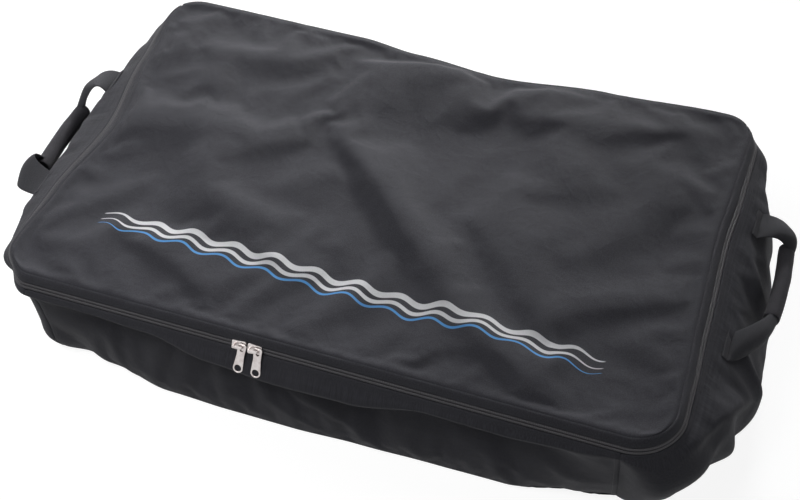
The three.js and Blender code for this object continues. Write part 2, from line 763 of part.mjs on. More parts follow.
function sliderOutline(tail_width, nose_width, half_length, corner) {
  const tail = tail_width / 2;
  const nose = nose_width / 2;
  const outline = new THREE.Shape();
  outline.moveTo(-half_length, -tail + corner);
  outline.quadraticCurveTo(-half_length, -tail, -half_length + corner, -tail);
  outline.quadraticCurveTo(0, -tail, half_length - 2 * corner, -nose);
  outline.quadraticCurveTo(half_length, -nose, half_length, -nose + 2 * corner);
  outline.lineTo(half_length, nose - 2 * corner);
  outline.quadraticCurveTo(half_length, nose, half_length - 2 * corner, nose);
  outline.quadraticCurveTo(0, tail, -half_length + corner, tail);
  outline.quadraticCurveTo(-half_length, tail, -half_length, tail - corner);
  outline.closePath();
  return outline;
}

const slider_corner = slider_plate;
const slider_curve_steps = 4;
const pull_curve_steps = 7;
const bevelled = {
  bevelEnabled: true,
  bevelThickness: slider_bevel,
  bevelSize: slider_bevel,
  bevelOffset: -slider_bevel,
  bevelSegments: 1,
};

function sliderBody() {
  const shell = new THREE.ExtrudeGeometry(
    sliderOutline(slider_tail_width, slider_nose_width, slider_length / 2, slider_corner),
    { depth: plate_top - plate_bottom - 2 * slider_bevel, curveSegments: slider_curve_steps, ...bevelled });
  shell.translate(0, 0, plate_bottom + slider_bevel);

  const flare = slider_nose_width - slider_tail_width;
  const channel_outline = new THREE.Shape();
  const half = channel_width / 2;
  const flared = half + flare / 2;
  channel_outline.moveTo(-overrun, -half);
  channel_outline.lineTo(0, -half);
  channel_outline.lineTo(slider_length / 2, -flared);
  channel_outline.lineTo(overrun, -flared);
  channel_outline.lineTo(overrun, flared);
  channel_outline.lineTo(slider_length / 2, flared);
  channel_outline.lineTo(0, half);
  channel_outline.lineTo(-overrun, half);
  channel_outline.closePath();
  const channel_depth = channel_high - channel_low;
  const channel = new THREE.ExtrudeGeometry(channel_outline, { depth: channel_depth, bevelEnabled: false });
  channel.translate(0, 0, channel_low);

  const tape_slot = boxBetween(
    new THREE.Vector3(-overrun, -overrun, channel_low),
    new THREE.Vector3(overrun, overrun, coil_low));

  const post_outline = new THREE.Shape();
  const post_front = slider_length / 2 - slider_plate;
  post_outline.moveTo(post_front, 0);
  post_outline.lineTo(post_front - slider_post_length / 2, slider_post_width / 2);
  post_outline.lineTo(post_front - slider_post_length, 0);
  post_outline.lineTo(post_front - slider_post_length / 2, -slider_post_width / 2);
  post_outline.closePath();
  const post_depth = channel_high - channel_low + slider_plate;
  const post = new THREE.ExtrudeGeometry(post_outline, { depth: post_depth, bevelEnabled: false });
  post.translate(0, 0, channel_low - slider_plate / 2);

  return solidOf(shell).subtract(solidOf(channel)).subtract(solidOf(tape_slot)).add(solidOf(post));
}

function sliderBridge() {
  const half = bridge_length / 2;
  const rise = bridge_eye_height + bridge_bar;
  const sunk = slider_plate / 2;
  const outline = new THREE.Shape();
  outline.moveTo(-half, -sunk);
  outline.lineTo(-half, rise - 2 * bridge_bar);
  outline.quadraticCurveTo(-half, rise, -half + 2 * bridge_bar, rise);
  outline.lineTo(half - 2 * bridge_bar, rise);
  outline.quadraticCurveTo(half, rise, half, rise - 2 * bridge_bar);
  outline.lineTo(half, -sunk);
  outline.lineTo(half - bridge_bar, -sunk);
  outline.lineTo(half - bridge_bar, rise - 2 * bridge_bar);
  outline.quadraticCurveTo(half - bridge_bar, rise - bridge_bar, half - 2 * bridge_bar, rise - bridge_bar);
  outline.lineTo(-half + 2 * bridge_bar, rise - bridge_bar);
  outline.quadraticCurveTo(-half + bridge_bar, rise - bridge_bar, -half + bridge_bar, rise - 2 * bridge_bar);
  outline.lineTo(-half + bridge_bar, -sunk);
  outline.closePath();
  const arch = new THREE.ExtrudeGeometry(outline, {
    depth: bridge_width - 2 * slider_bevel, curveSegments: slider_curve_steps, ...bevelled });
  arch.rotateX(Math.PI / 2);
  arch.translate(0, bridge_width / 2 - slider_bevel, plate_top);
  return solidOf(arch);
}

// Pull: a waisted plate with a slot round the bridge's leg and a round hole at its foot.
// Its origin is the middle of the bar above the slot, and it hangs towards -Y.
function pullPlate() {
  const head = pull_head_width / 2;
  const waist = pull_waist_width / 2;
  const foot = pull_foot_width / 2;
  const top = pull_head_bar / 2;
  const foot_centre = top - pull_length + foot;
  const outline = new THREE.Shape();
  outline.moveTo(head, top - pull_head_corner);
  outline.quadraticCurveTo(head, top, head - pull_head_corner, top);
  outline.lineTo(pull_head_corner - head, top);
  outline.quadraticCurveTo(-head, top, -head, top - pull_head_corner);
  outline.lineTo(-waist, top - pull_waist_drop);
  outline.lineTo(-foot, foot_centre);
  outline.absarc(0, foot_centre, foot, Math.PI, 2 * Math.PI, false);
  outline.lineTo(waist, top - pull_waist_drop);
  outline.closePath();
  const slot = new THREE.Path();
  const slot_half = pull_slot_width / 2;
  const slot_top = -top - slot_half;
  const slot_foot = -top - pull_slot_length + slot_half;
  slot.absarc(0, slot_top, slot_half, 0, Math.PI, false);
  slot.absarc(0, slot_foot, slot_half, Math.PI, 2 * Math.PI, false);
  slot.closePath();
  const hole = new THREE.Path();
  hole.absarc(0, foot_centre, pull_hole / 2, 0, 2 * Math.PI, false);
  outline.holes.push(slot, hole);
  const plate = new THREE.ExtrudeGeometry(outline, {
    depth: pull_thickness - 2 * slider_bevel, curveSegments: pull_curve_steps, ...bevelled });
  return plate.translate(0, 0, slider_bevel - pull_thickness / 2);
}

const front_band = bandDirection(front_left_seam_share);
const front_band_angle = Math.atan2(-front_band.y, front_band.x);
const leg_x = bridge_length / 2 - bridge_bar / 2;
const pull_seat = bridge_width / 2 + layer_gap + pull_head_bar / 2;

function addSlider(side, x, turned, lean_degrees) {
  const carriage = new THREE.Group();
  const seat = bandPlane(front_left_seam_share, chain_centre, 0);
  carriage.position.set(x, -lid_width / 2 - seat.x, seat.y);
  carriage.rotation.x = front_band_angle;
  bag.add(carriage);
  const body = geometryOf(sliderBody().add(sliderBridge()));
  if (turned) body.rotateZ(Math.PI);
  addPiece(carriage, `slider_${side}`, body, 'nickel');
  const pull = addPiece(carriage, `pull_${side}`, pullPlate(), 'nickel');
  pull.position.set(leg_x, pull_seat, plate_top + pull_rise);
  const { degToRad } = THREE.MathUtils;
  pull.rotation.set(degToRad(pull_tilt_degrees), 0, -degToRad(lean_degrees));
}

addSlider('left', left_slider_x, false, left_pull_lean_degrees);
addSlider('right', right_slider_x, true, right_pull_lean_degrees);

// Handles: webbing sewn to the shoulder at both ends, folded narrow inside a sleeve.
function placeOnEnd(side, y) {
  const along = (y + straight_y) / (2 * straight_y);
  return side > 0 ? 2 + along : 7 - along;
}

function handleTab(handle, y) {
  const first = placeOnEnd(handle.side, y - (handle.side * webbing_width) / 2);
  const last = placeOnEnd(handle.side, y + (handle.side * webbing_width) / 2);
  const face = [];
  const back = [];
  for (const place of placesBetween(first, last)) {
    const curve = wallCurve(place);
    const run = curve.getPoint(0).distanceTo(curve.getPoint(shoulder_share));
    const start = shoulder_share * (1 - tab_length / run);
    const finish = shoulder_share * (1 + tab_overrun / run);
    const shares = [start, shoulder_share, finish];
    back.push(shares.map((share) => wallPoint(place, share, layer_gap)));
    face.push(shares.map((share) => wallPoint(place, share, layer_gap + webbing_thickness)));
  }
  return sheetBody(face, back);
}

// Hinge line of a handle: over the sewn tabs at the shoulder, clear of the further one.
function handleHinge(handle) {
  const proud = layer_gap + hinge_clearance + webbing_thickness * 3 / 2;
  const lines = [handle.back_root, handle.front_root].map((y) =>
    wallPlane(wallCurve(placeOnEnd(handle.side, y)), shoulder_share, proud));
  const outer = lines[0].x > lines[1].x ? lines[0] : lines[1];
  return new THREE.Vector2(lid_length / 2 + outer.x, outer.y);
}

function gripSpot(handle, hinge, y) {
  const from_middle = (y - handle.slip) / (grip_length / 2);
  const bow = grip_bow * (1 - from_middle * from_middle);
  return new THREE.Vector3(handle.side * (hinge.x + handle.reach + bow), y, hinge.y - handle.drop);
}

function webbingSection(centre, along, width_way, width, thickness) {
  const wide = width_way.clone().addScaledVector(along, -width_way.dot(along)).normalize();
  const thick = along.clone().cross(wide).normalize();
  const corners = [[1, 1], [1, -1], [-1, -1], [-1, 1]];
  return corners.map(([w, t]) =>
    centre.clone().addScaledVector(wide, (w * width) / 2).addScaledVector(thick, (t * thickness) / 2));
}

const leg_steps = 10;
const narrowing_share = 0.6;

// One leg of the webbing, from its root to the grip's end. towards is 1 for the back leg.
function legSections(handle, hinge, towards) {
  const root_y = towards > 0 ? handle.back_root : handle.front_root;
  const root = new THREE.Vector3(handle.side * hinge.x, root_y, hinge.y);
  const grip_end = gripSpot(handle, hinge, handle.slip + (towards * grip_length) / 2);
  grip_end.y += towards * straight_run;
  const out = new THREE.Vector3(handle.side, 0, 0);
  const along = new THREE.Vector3(0, towards, 0);
  const path = new THREE.CubicBezierCurve3(
    root,
    root.clone().addScaledVector(out, towards > 0 ? handle.back_pull : handle.front_pull),
    grip_end.clone().addScaledVector(along, leg_pull_along),
    grip_end);
  const sections = [];
  for (let i = 0; i <= leg_steps; i++) {
    const share = i / leg_steps;
    const narrowed = THREE.MathUtils.smoothstep(share, 0, narrowing_share);
    const turned = (THREE.MathUtils.smoothstep(share, 0, 1) * Math.PI) / 2;
    const width_way = new THREE.Vector3(0, Math.cos(turned) * towards, Math.sin(turned));
    const width = webbing_width + (folded_width - webbing_width) * narrowed;
    const thickness = webbing_thickness + (folded_thickness - webbing_thickness) * narrowed;
    sections.push(webbingSection(path.getPoint(share), path.getTangent(share), width_way, width, thickness));
  }
  return sections;
}

const grip_steps = 8;

function gripSleeve(handle, hinge) {
  const oval = (centre, depth, height) => {
    const ring = [];
    for (let k = 0; k < round_steps; k++) {
      const angle = (2 * Math.PI * k) / round_steps;
      ring.push(centre.clone().add(new THREE.Vector3(
        (Math.cos(angle) * depth) / 2, 0, (Math.sin(angle) * height) / 2)));
    }
    return ring;
  };
  const outer = [];
  const inner = [];
  for (let i = 0; i <= grip_steps; i++) {
    const share = i / grip_steps;
    const y = handle.slip + (share - 1 / 2) * grip_length;
    const at_end = i === 0 || i === grip_steps;
    const less = at_end ? grip_edge_round : 0;
    const centre = gripSpot(handle, hinge, y);
    outer.push(oval(centre, grip_depth - less, grip_height - less));
    inner.push(oval(centre, grip_bore_depth, grip_bore_height));
  }
  return tubeBody(outer, inner);
}

function webbingLoop(handle, hinge) {
  const back_leg = legSections(handle, hinge, 1);
  const front_leg = legSections(handle, hinge, -1).reverse();
  const middle = [];
  for (let i = 1; i < grip_steps; i++) {
    const share = 1 - i / grip_steps;
    const y = handle.slip + (share - 1 / 2) * grip_length;
    const centre = gripSpot(handle, hinge, y);
    const along = new THREE.Vector3(0, -1, 0);
    middle.push(webbingSection(centre, along, new THREE.Vector3(0, 0, 1), folded_width, folded_thickness));
  }
  return loftBody([...back_leg, ...middle, ...front_leg.map((section) => sameTurn(section, middle[0]))]);
}

// Gives a section's corners in the order of the section before it, so that the bar doesn't twist.
function sameTurn(section, model) {
  const sumOf = (ring) => ring.reduce((sum, p) => sum.add(p), new THREE.Vector3());
  const centreOf = (ring) => sumOf(ring).divideScalar(ring.length);
  const model_ways = model.map((p) => p.clone().sub(centreOf(model)).normalize());
  const centre = centreOf(section);
  const orders = [];
  for (let shift = 0; shift < section.length; shift++) {
    for (const way of [1, -1]) {
      orders.push(section.map((_, k) => section[(shift + way * k + 2 * section.length) % section.length]));
    }
  }
  const agreement = (p, k) => p.clone().sub(centre).normalize().dot(model_ways[k]);
  const likeness = (ring) => ring.reduce((sum, p, k) => sum + agreement(p, k), 0);
  return orders.reduce((best, ring) => (likeness(ring) > likeness(best) ? ring : best));
}

function addHandle(name, handle) {
  const hinge = handleHinge(handle);
  addPiece(bag, `${name}_handle_tab_back`, handleTab(handle, handle.back_root), 'webbing');
  addPiece(bag, `${name}_handle_tab_front`, handleTab(handle, handle.front_root), 'webbing');
  const swing = new THREE.Group();
  swing.position.set(handle.side * hinge.x, 0, hinge.y);
  bag.add(swing);
  const webbing = webbingLoop(handle, hinge).translate(-swing.position.x, 0, -swing.position.z);
  const grip = gripSleeve(handle, hinge).translate(-swing.position.x, 0, -swing.position.z);
  addPiece(swing, `${name}_handle_webbing`, webbing, 'webbing');
  addPiece(swing, `${name}_handle_grip`, grip, 'cloth');
}

addHandle('right', right_handle);
addHandle('left', left_handle);

// The bag's whole box is centred over the origin.
const extent = new THREE.Box3().setFromObject(bag, true);
const middle = extent.getCenter(new THREE.Vector3());
bag.position.set(-middle.x, -middle.y, 0);
bag.updateMatrixWorld(true);

export default bag;
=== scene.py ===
import math

import bpy
import numpy as np
from mathutils import Matrix, Vector, noise

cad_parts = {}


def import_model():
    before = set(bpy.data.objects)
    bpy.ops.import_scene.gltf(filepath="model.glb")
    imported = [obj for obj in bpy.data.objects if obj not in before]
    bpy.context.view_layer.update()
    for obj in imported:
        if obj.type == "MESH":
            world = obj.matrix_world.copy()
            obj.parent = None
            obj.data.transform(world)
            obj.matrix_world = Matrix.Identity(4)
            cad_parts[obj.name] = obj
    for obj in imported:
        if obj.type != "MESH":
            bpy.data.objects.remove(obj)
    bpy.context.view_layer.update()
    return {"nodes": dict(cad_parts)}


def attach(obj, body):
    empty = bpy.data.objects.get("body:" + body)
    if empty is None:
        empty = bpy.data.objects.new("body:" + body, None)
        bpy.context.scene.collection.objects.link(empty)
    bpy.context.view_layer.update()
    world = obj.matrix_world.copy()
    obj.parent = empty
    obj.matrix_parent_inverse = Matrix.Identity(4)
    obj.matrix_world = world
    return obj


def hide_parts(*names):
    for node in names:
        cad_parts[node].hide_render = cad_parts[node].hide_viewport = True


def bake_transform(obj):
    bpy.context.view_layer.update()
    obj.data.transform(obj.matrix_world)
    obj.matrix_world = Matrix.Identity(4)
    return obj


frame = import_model()
scene = bpy.context.scene

# Sizes in millimetres, in the lid's own frame: its outline is centred over the origin.
MM = 0.001
SHIFT = np.array([-6.688, 8.4006, 0.0])
LENGTH, WIDTH, CORNER, HEIGHT = 850.0, 550.0, 50.0, 180.0
STRAIGHT_X, STRAIGHT_Y = LENGTH / 2 - CORNER, WIDTH / 2 - CORNER
CROWN = 5.0

# A place on the outline is the number of its stretch, plus the share of that stretch that is passed.
# The front is stretch 0, the front right corner 1, and so on round the bag. Even stretches are straight.
STRETCHES = 8
# Places closer together than this are the same.
SAME_PLACE = 1e-6
# The zip's band starts at the lid's seam. CHAIN is where the two rows of coil meet.
BAND = 26.5
CHAIN = 16.0
ZIP_LEFT, ZIP_RIGHT = -2.4, 3.4

# Sizes that the wall's shares belong to.
SHOULDER_OUT, SHOULDER_DROP, TUCK = 28.0, 50.0, 30.0
BELLY_OUT, BELLY_HEIGHT, FLOOR_OUT, DRAW = 80.0, 63.0, 60.0, 36.0
FOOT_ROUND, FOOT_UP = 5.0, 2.5
UNDER_FOLD_SHARE, LOW_WALL_SHARE, SHOULDER_SHARE = 0.35, 0.55, 0.2
# The front's fold is deeper than in the solid, and eases out towards both ends of the front.
FOLD_DEEPER, FOLD_STARTS, FOLD_ENDS = 11.0, 0.12, 0.2

# Steps between the points of cloth grids, and thicknesses of the cloths.
CLOTH_STEP, STRIP_STEP, COIL_STEP, THREAD_STEP = 6.0, 5.0, 1.0, 4.0
BAG_CLOTH, STRIP_CLOTH, BASE_CLOTH, TAPE_CLOTH, BINDING_CLOTH, WEBBING = 1.2, 0.9, 1.4, 0.6, 0.5, 1.8

# Cloth as cut, depth by length in metres.
SIDE_WALL_CUT, END_WALL_CUT = (0.188, 0.75), (0.188, 0.606)

# Place round the bag, then shares of the shoulder out, its drop, tuck, belly, floor and draw.
WALL = [
    [0, 0.5, 0.5, 0.3, -0.15, -0.42, 0],
    [0.05, 0.51, 0.51, 0.3, -0.13, -0.48, 0],
    [0.1, 0.52, 0.52, 0.3, -0.1, -0.32, 0],
    [0.22, 0.58, 0.58, 0.3, -0.04, -0.04, 0],
    [0.33, 0.86, 0.86, 0.45, -0.06, 0, 0],
    [0.45, 0.97, 0.97, 0.5, -0.06, 0, 0],
    [0.57, 0.94, 0.94, 0.5, -0.1, -0.06, 0],
    [0.7, 0.66, 0.66, 0.4, -0.1, -0.1, 0],
    [0.82, 0.68, 0.68, 0.35, -0.1, -0.12, 0],
    [0.93, 0.6, 0.6, 0.2, -0.1, -0.42, 0],
    [1, 0.5, 0.5, 0, -0.12, -0.6, 0],
    [1.5, 0.75, 0.8, -0.5, 0.12, -0.6, 0],
    [2, 1, 0.78, -0.6, 0.3, -0.12, 0],
    [2.12, 1.15, 0.76, -0.45, 0.78, 0.44, 0.05],
    [2.28, 1.3, 0.76, -0.25, 1.03, 0.95, 0.15],
    [2.6, 1.3, 0.76, -0.2, 0.92, 0.92, 0.25],
    [2.8, 1.28, 0.76, -0.15, 0.68, 0.6, 0.12],
    [3, 0.95, 0.8, -0.05, 0.22, 0.1, 0],
    [3.5, 0.45, 0.75, 0, 0.1, 0, 0],
    [4, 0.1, 0.7, -0.05, 0.12, 0, 0.15],
    [4.2, -0.1, 0.7, -0.05, 0.1, 0, 0.4],
    [4.4, -0.5, 0.7, -0.1, 0.1, 0, 0.85],
    [4.56, -0.3, 0.7, -0.1, 0.12, 0, 0.55],
    [4.68, 0, 0.7, -0.05, 0.14, 0, 0.25],
    [5, 0.1, 0.7, -0.05, 0.14, 0, 0.15],
    [5.5, 0.5, 0.75, 0, 0.12, 0, 0.1],
    [6, 0.8, 0.78, -0.05, 0.25, 0.1, 0.2],
    [6.2, 1.02, 0.74, -0.1, 0.5, 0.3, 0.5],
    [6.5, 1.05, 0.74, -0.1, 0.56, 0.35, 1],
    [6.8, 1.02, 0.74, -0.1, 0.3, 0.1, 0.5],
    [7, 0.5, 0.7, 0.2, -0.2, -0.3, 0.25],
    [7.5, -0.1, 0.55, 0.2, -0.24, -0.42, 0.2],
    [8, 0.5, 0.5, 0.3, -0.15, -0.42, 0],
]


def smooth(t):
    t = min(max(t, 0.0), 1.0)
    return t * t * (3 - 2 * t)


def smooth_all(t):
    t = np.clip(t, 0, 1)
    return t**2 * (3 - 2 * t)


def world(points):
    """Points of the lid's frame in millimetres, as points of the row frame in metres."""
    return (np.asarray(points, float) + SHIFT) * MM


# Camera, fitted to the lid's corners. Angles in degrees.
CAMERA_SPOT = [447.6, -1150.0, 1486.6]
CAMERA_AROUND, CAMERA_ABOVE, CAMERA_ROLL = 20.7, 49.2, -1.89
LENS, SENSOR = 62.775, 36.0
CAMERA_NEAR, CAMERA_FAR = 0.01, 50


def make_camera():
    data = bpy.data.cameras.new("camera")
    data.lens, data.sensor_width = LENS, SENSOR
    data.clip_start, data.clip_end = CAMERA_NEAR, CAMERA_FAR
    camera = bpy.data.objects.new("camera", data)
    scene.collection.objects.link(camera)
    around, above, roll = (math.radians(v) for v in (CAMERA_AROUND, CAMERA_ABOVE, CAMERA_ROLL))
    back = Vector((math.sin(around) * math.cos(above), -math.cos(around) * math.cos(above), math.sin(above)))
    right = (-back).cross(Vector((0, 0, 1))).normalized()
    up = right.cross(-back)
    right_rolled = math.cos(roll) * right + math.sin(roll) * up
    up_rolled = -math.sin(roll) * right + math.cos(roll) * up
    turn = Matrix((right_rolled, up_rolled, back)).transposed().to_4x4()
    camera.matrix_world = Matrix.Translation(Vector(world(CAMERA_SPOT))) @ turn
    scene.camera = camera


make_camera()

# Outline and wall, as in the solid model.
def outline_at(place):
    """The outline's point at a place, and the way out of it."""
    turn = place % STRETCHES
    stretch = int(turn)
    along = turn - stretch
    quarter = stretch // 2
    facing = (quarter - 1) * math.pi / 2
    if stretch % 2:
        angle = facing + along * math.pi / 2
        out = (math.cos(angle), math.sin(angle))
        cx = STRAIGHT_X if quarter in (0, 1) else -STRAIGHT_X
        cy = STRAIGHT_Y if quarter in (1, 2) else -STRAIGHT_Y
        return cx + out[0] * CORNER, cy + out[1] * CORNER, out
    step = 2 * along - 1
    out = (round(math.cos(facing)), round(math.sin(facing)))
    run = (-out[1], out[0])
    x = out[0] * LENGTH / 2 + run[0] * step * STRAIGHT_X
    y = out[1] * WIDTH / 2 + run[1] * step * STRAIGHT_Y
    return x, y, out


def stretch_length(stretch):
    """The length of one stretch of the outline."""
    stretch %= STRETCHES
    if stretch % 2:
        return math.pi / 2 * CORNER
    return 2 * STRAIGHT_X if stretch % 4 == 0 else 2 * STRAIGHT_Y


def places_between(first, last, step):
    """Places from one to another, about one step apart along the outline, with their run in millimetres."""
    places, runs, run = [first], [0.0], 0.0
    at = first
    while at < last - SAME_PLACE:
        stretch = math.floor(at + SAME_PLACE)
        end = min(stretch + 1, last)
        length = (end - at) * stretch_length(stretch)
        count = max(1, round(length / step))
        for i in range(1, count + 1):
            places.append(at + (end - at) * i / count)
            runs.append(run + length * i / count)
        run += length
        at = end
    return places, runs


def wall_at(place):
    """The wall's sizes at a place, eased between the rows of the table."""
    turn = place % STRETCHES
    row = max(i for i in range(len(WALL) - 1) if WALL[i][0] <= turn)
    before, after = WALL[row], WALL[row + 1]
    ease = smooth((turn - before[0]) / (after[0] - before[0]))
    s = [a + (b - a) * ease for a, b in zip(before[1:], after[1:])]
    return {
        "shoulder": np.array([s[0] * SHOULDER_OUT, HEIGHT - s[1] * SHOULDER_DROP]),
        "tuck": s[2] * TUCK,
        "belly": s[3] * BELLY_OUT,
        "floor": s[4] * FLOOR_OUT,
        "draw": s[5] * DRAW,
    }


def band_plane(place, across, proud):
    """A point on the zip's band: across from the lid's seam downwards, and proud of the cloth."""
    wall = wall_at(place)
    seam = np.array([-wall["draw"], HEIGHT])
    down = wall["shoulder"] - seam
    down = down / np.linalg.norm(down)
    return seam + down * across + np.array([-down[1], down[0]]) * proud


class WallCurve:
    """The wall's line from the band to the floor, in the plane that stands out of the outline."""

    def __init__(self, place):
        wall = wall_at(place)
        turn = place % STRETCHES
        belly = np.array([wall["belly"], BELLY_HEIGHT])
        foot = np.array([wall["floor"], FOOT_UP])
        deeper = FOLD_DEEPER * smooth(turn / FOLD_STARTS) * smooth((1 - turn) / FOLD_ENDS)
        under = wall["shoulder"] * (1 - UNDER_FOLD_SHARE) + belly * UNDER_FOLD_SHARE
        under = under - [wall["tuck"] + deeper, 0]
        low = belly * (1 - LOW_WALL_SHARE) + foot * LOW_WALL_SHARE + [FOOT_ROUND, 0]
        self.p = [band_plane(place, BAND, 0), wall["shoulder"], under, belly, low, foot]

    def point(self, share):
        """A point of the smooth line through the wall's six points, with a fifth of it between each two."""
        spot = share * (len(self.p) - 1)
        k = min(int(spot), len(self.p) - 2)
        w = spot - k
        p1, p2 = self.p[k], self.p[k + 1]
        p0 = self.p[k - 1] if k else 2 * p1 - p2
        p3 = self.p[k + 2] if k + 2 < len(self.p) else 2 * p2 - p1
        d0, d1, d2 = (np.linalg.norm(b - a) ** 0.5 for a, b in ((p0, p1), (p1, p2), (p2, p3)))
        t1 = ((p1 - p0) / d0 - (p2 - p0) / (d0 + d1) + (p2 - p1) / d1) * d1
        t2 = ((p2 - p1) / d1 - (p3 - p1) / (d1 + d2) + (p3 - p2) / d2) * d1
        return p1 + t1 * w + (-3 * p1 + 3 * p2 - 2 * t1 - t2) * w**2 + (2 * p1 - 2 * p2 + t1 + t2) * w**3

    def face(self, share):
        """The way out of the wall."""
        near = 0.002
        ahead = self.point(min(share + near, 1)) - self.point(max(share - near, 0))
        ahead /= np.linalg.norm(ahead)
        return np.array([-ahead[1], ahead[0]])


def stand(place, plane):
    """A point of the plane that stands out of the outline, as a point in space."""
    x, y, out = outline_at(place)
    return np.array([x + out[0] * plane[0], y + out[1] * plane[0], plane[1]])


# The band's lines at close places, for whole arrays of points.
TABLE_PLACES = np.linspace(-3, STRETCHES + 1, 6001)


def band_table():
    """The outline's point and way out, the seam and the way down the band, at each place of the table."""
    rows = []
    for place in TABLE_PLACES:
        x, y, out = outline_at(place)
        seam, down = band_plane(place, 0, 0), band_plane(place, 1, 0) - band_plane(place, 0, 0)
        rows.append([x, y, out[0], out[1], seam[0], down[0], down[1]])
    return np.array(rows)


BAND_TABLE = band_table()


def on_band(place, across, proud):
    """Points on the zip's band for whole arrays of places."""
    x, y, ox, oy, seam, dx, dz = (np.interp(place, TABLE_PLACES, column) for column in BAND_TABLE.T)
    out = seam + dx * across - dz * proud
    return np.stack([x + ox * out, y + oy * out, HEIGHT + dz * across + dx * proud], -1)


# Mesh helpers.
def link(mesh, name):
    obj = bpy.data.objects.new(name, mesh)
    scene.collection.objects.link(obj)
    return obj


def mesh_piece(name, points, faces, flat=None):
    """A smooth mesh from points in the lid's frame. flat holds each point's place in the uncut cloth."""
    mesh = bpy.data.meshes.new(name)
    mesh.from_pydata(world(points).tolist(), [], faces)
    mesh.validate()
    if flat is not None:
        layer = mesh.uv_layers.new(name="flat")
        corner = np.empty(len(mesh.loops), np.int32)
        mesh.loops.foreach_get("vertex_index", corner)
        layer.data.foreach_set("uv", (np.asarray(flat, float) * MM)[corner].ravel())
    mesh.polygons.foreach_set("use_smooth", [True] * len(mesh.polygons))
    return link(mesh, name)


def grid_faces(rows, columns, closed=False):
    faces = []
    for i in range(rows - 1):
        for j in range(columns if closed else columns - 1):
            k = (j + 1) % columns
            faces.append((i * columns + j, i * columns + k, (i + 1) * columns + k, (i + 1) * columns + j))
    return faces


def thicken(obj, thickness, offset=-1.0, face=None, back=None):
    """Gives cloth its thickness. Of two paints, face is for the side that its faces point to."""
    body = obj.modifiers.new("thickness", "SOLIDIFY")
    body.thickness, body.offset = thickness * MM, offset
    body.use_even_offset = False
    if back:
        obj.data.materials.append(face)
        obj.data.materials.append(back)
        body.material_offset = 1


def refine(obj, levels=1):
    """Rounds a mesh off between its points."""
    finer = obj.modifiers.new("finer", "SUBSURF")
    finer.levels = finer.render_levels = levels


SIM_STEPS, SIM_MASS, AIR_DRAG, SIM_DAMPING = 5, 0.2, 3.0, 5.0
SIM_FRAMES, SIM_STIFFNESS = 18, 8.0


def settle(obj, hold, grow, cap, bend, slack=1.0):
    """Lets cloth that is cut slightly larger than its frame find its own wrinkles.

    hold pins each point, grow is how much larger the cloth is, and cap is the furthest that a point moves.
    slack is the share of its wrinkles that a point keeps.
    """
    count = len(obj.data.vertices)
    before = np.empty(count * 3)
    obj.data.vertices.foreach_get("co", before)
    before = before.reshape(-1, 3)
    group = obj.vertex_groups.new(name="hold")
    for value in sorted(set(hold)):
        group.add([i for i, h in enumerate(hold) if h == value], value, "REPLACE")
    cloth = obj.modifiers.new("cloth", "CLOTH")
    s = cloth.settings
    s.quality, s.mass, s.air_damping = SIM_STEPS, SIM_MASS, AIR_DRAG
    s.tension_stiffness = s.compression_stiffness = SIM_STIFFNESS
    s.shear_stiffness, s.bending_stiffness = SIM_STIFFNESS / 2, bend
    s.tension_damping = s.compression_damping = s.shear_damping = SIM_DAMPING
    s.shrink_min = -grow
    s.vertex_group_mass, s.pin_stiffness = "hold", 1.0
    s.effector_weights.gravity = 0
    cloth.collision_settings.use_collision = False
    cloth.point_cache.frame_start, cloth.point_cache.frame_end = 1, SIM_FRAMES
    for number in range(1, SIM_FRAMES + 1):
        scene.frame_set(number)
    posed = obj.evaluated_get(bpy.context.evaluated_depsgraph_get())
    after = np.empty(count * 3)
    posed.data.vertices.foreach_get("co", after)
    after = after.reshape(-1, 3)
    obj.modifiers.remove(cloth)
    scene.frame_set(1)
    move = after - before
    far = np.linalg.norm(move, axis=1, keepdims=True)
    move *= np.minimum(1, cap * MM / np.maximum(far, 1e-9)) * np.reshape(slack, (-1, 1))
    obj.data.vertices.foreach_set("co", (before + move).ravel())
    obj.data.update()


def ripple(x, y, z=0.0):
    return noise.noise(Vector((x, y, z)))


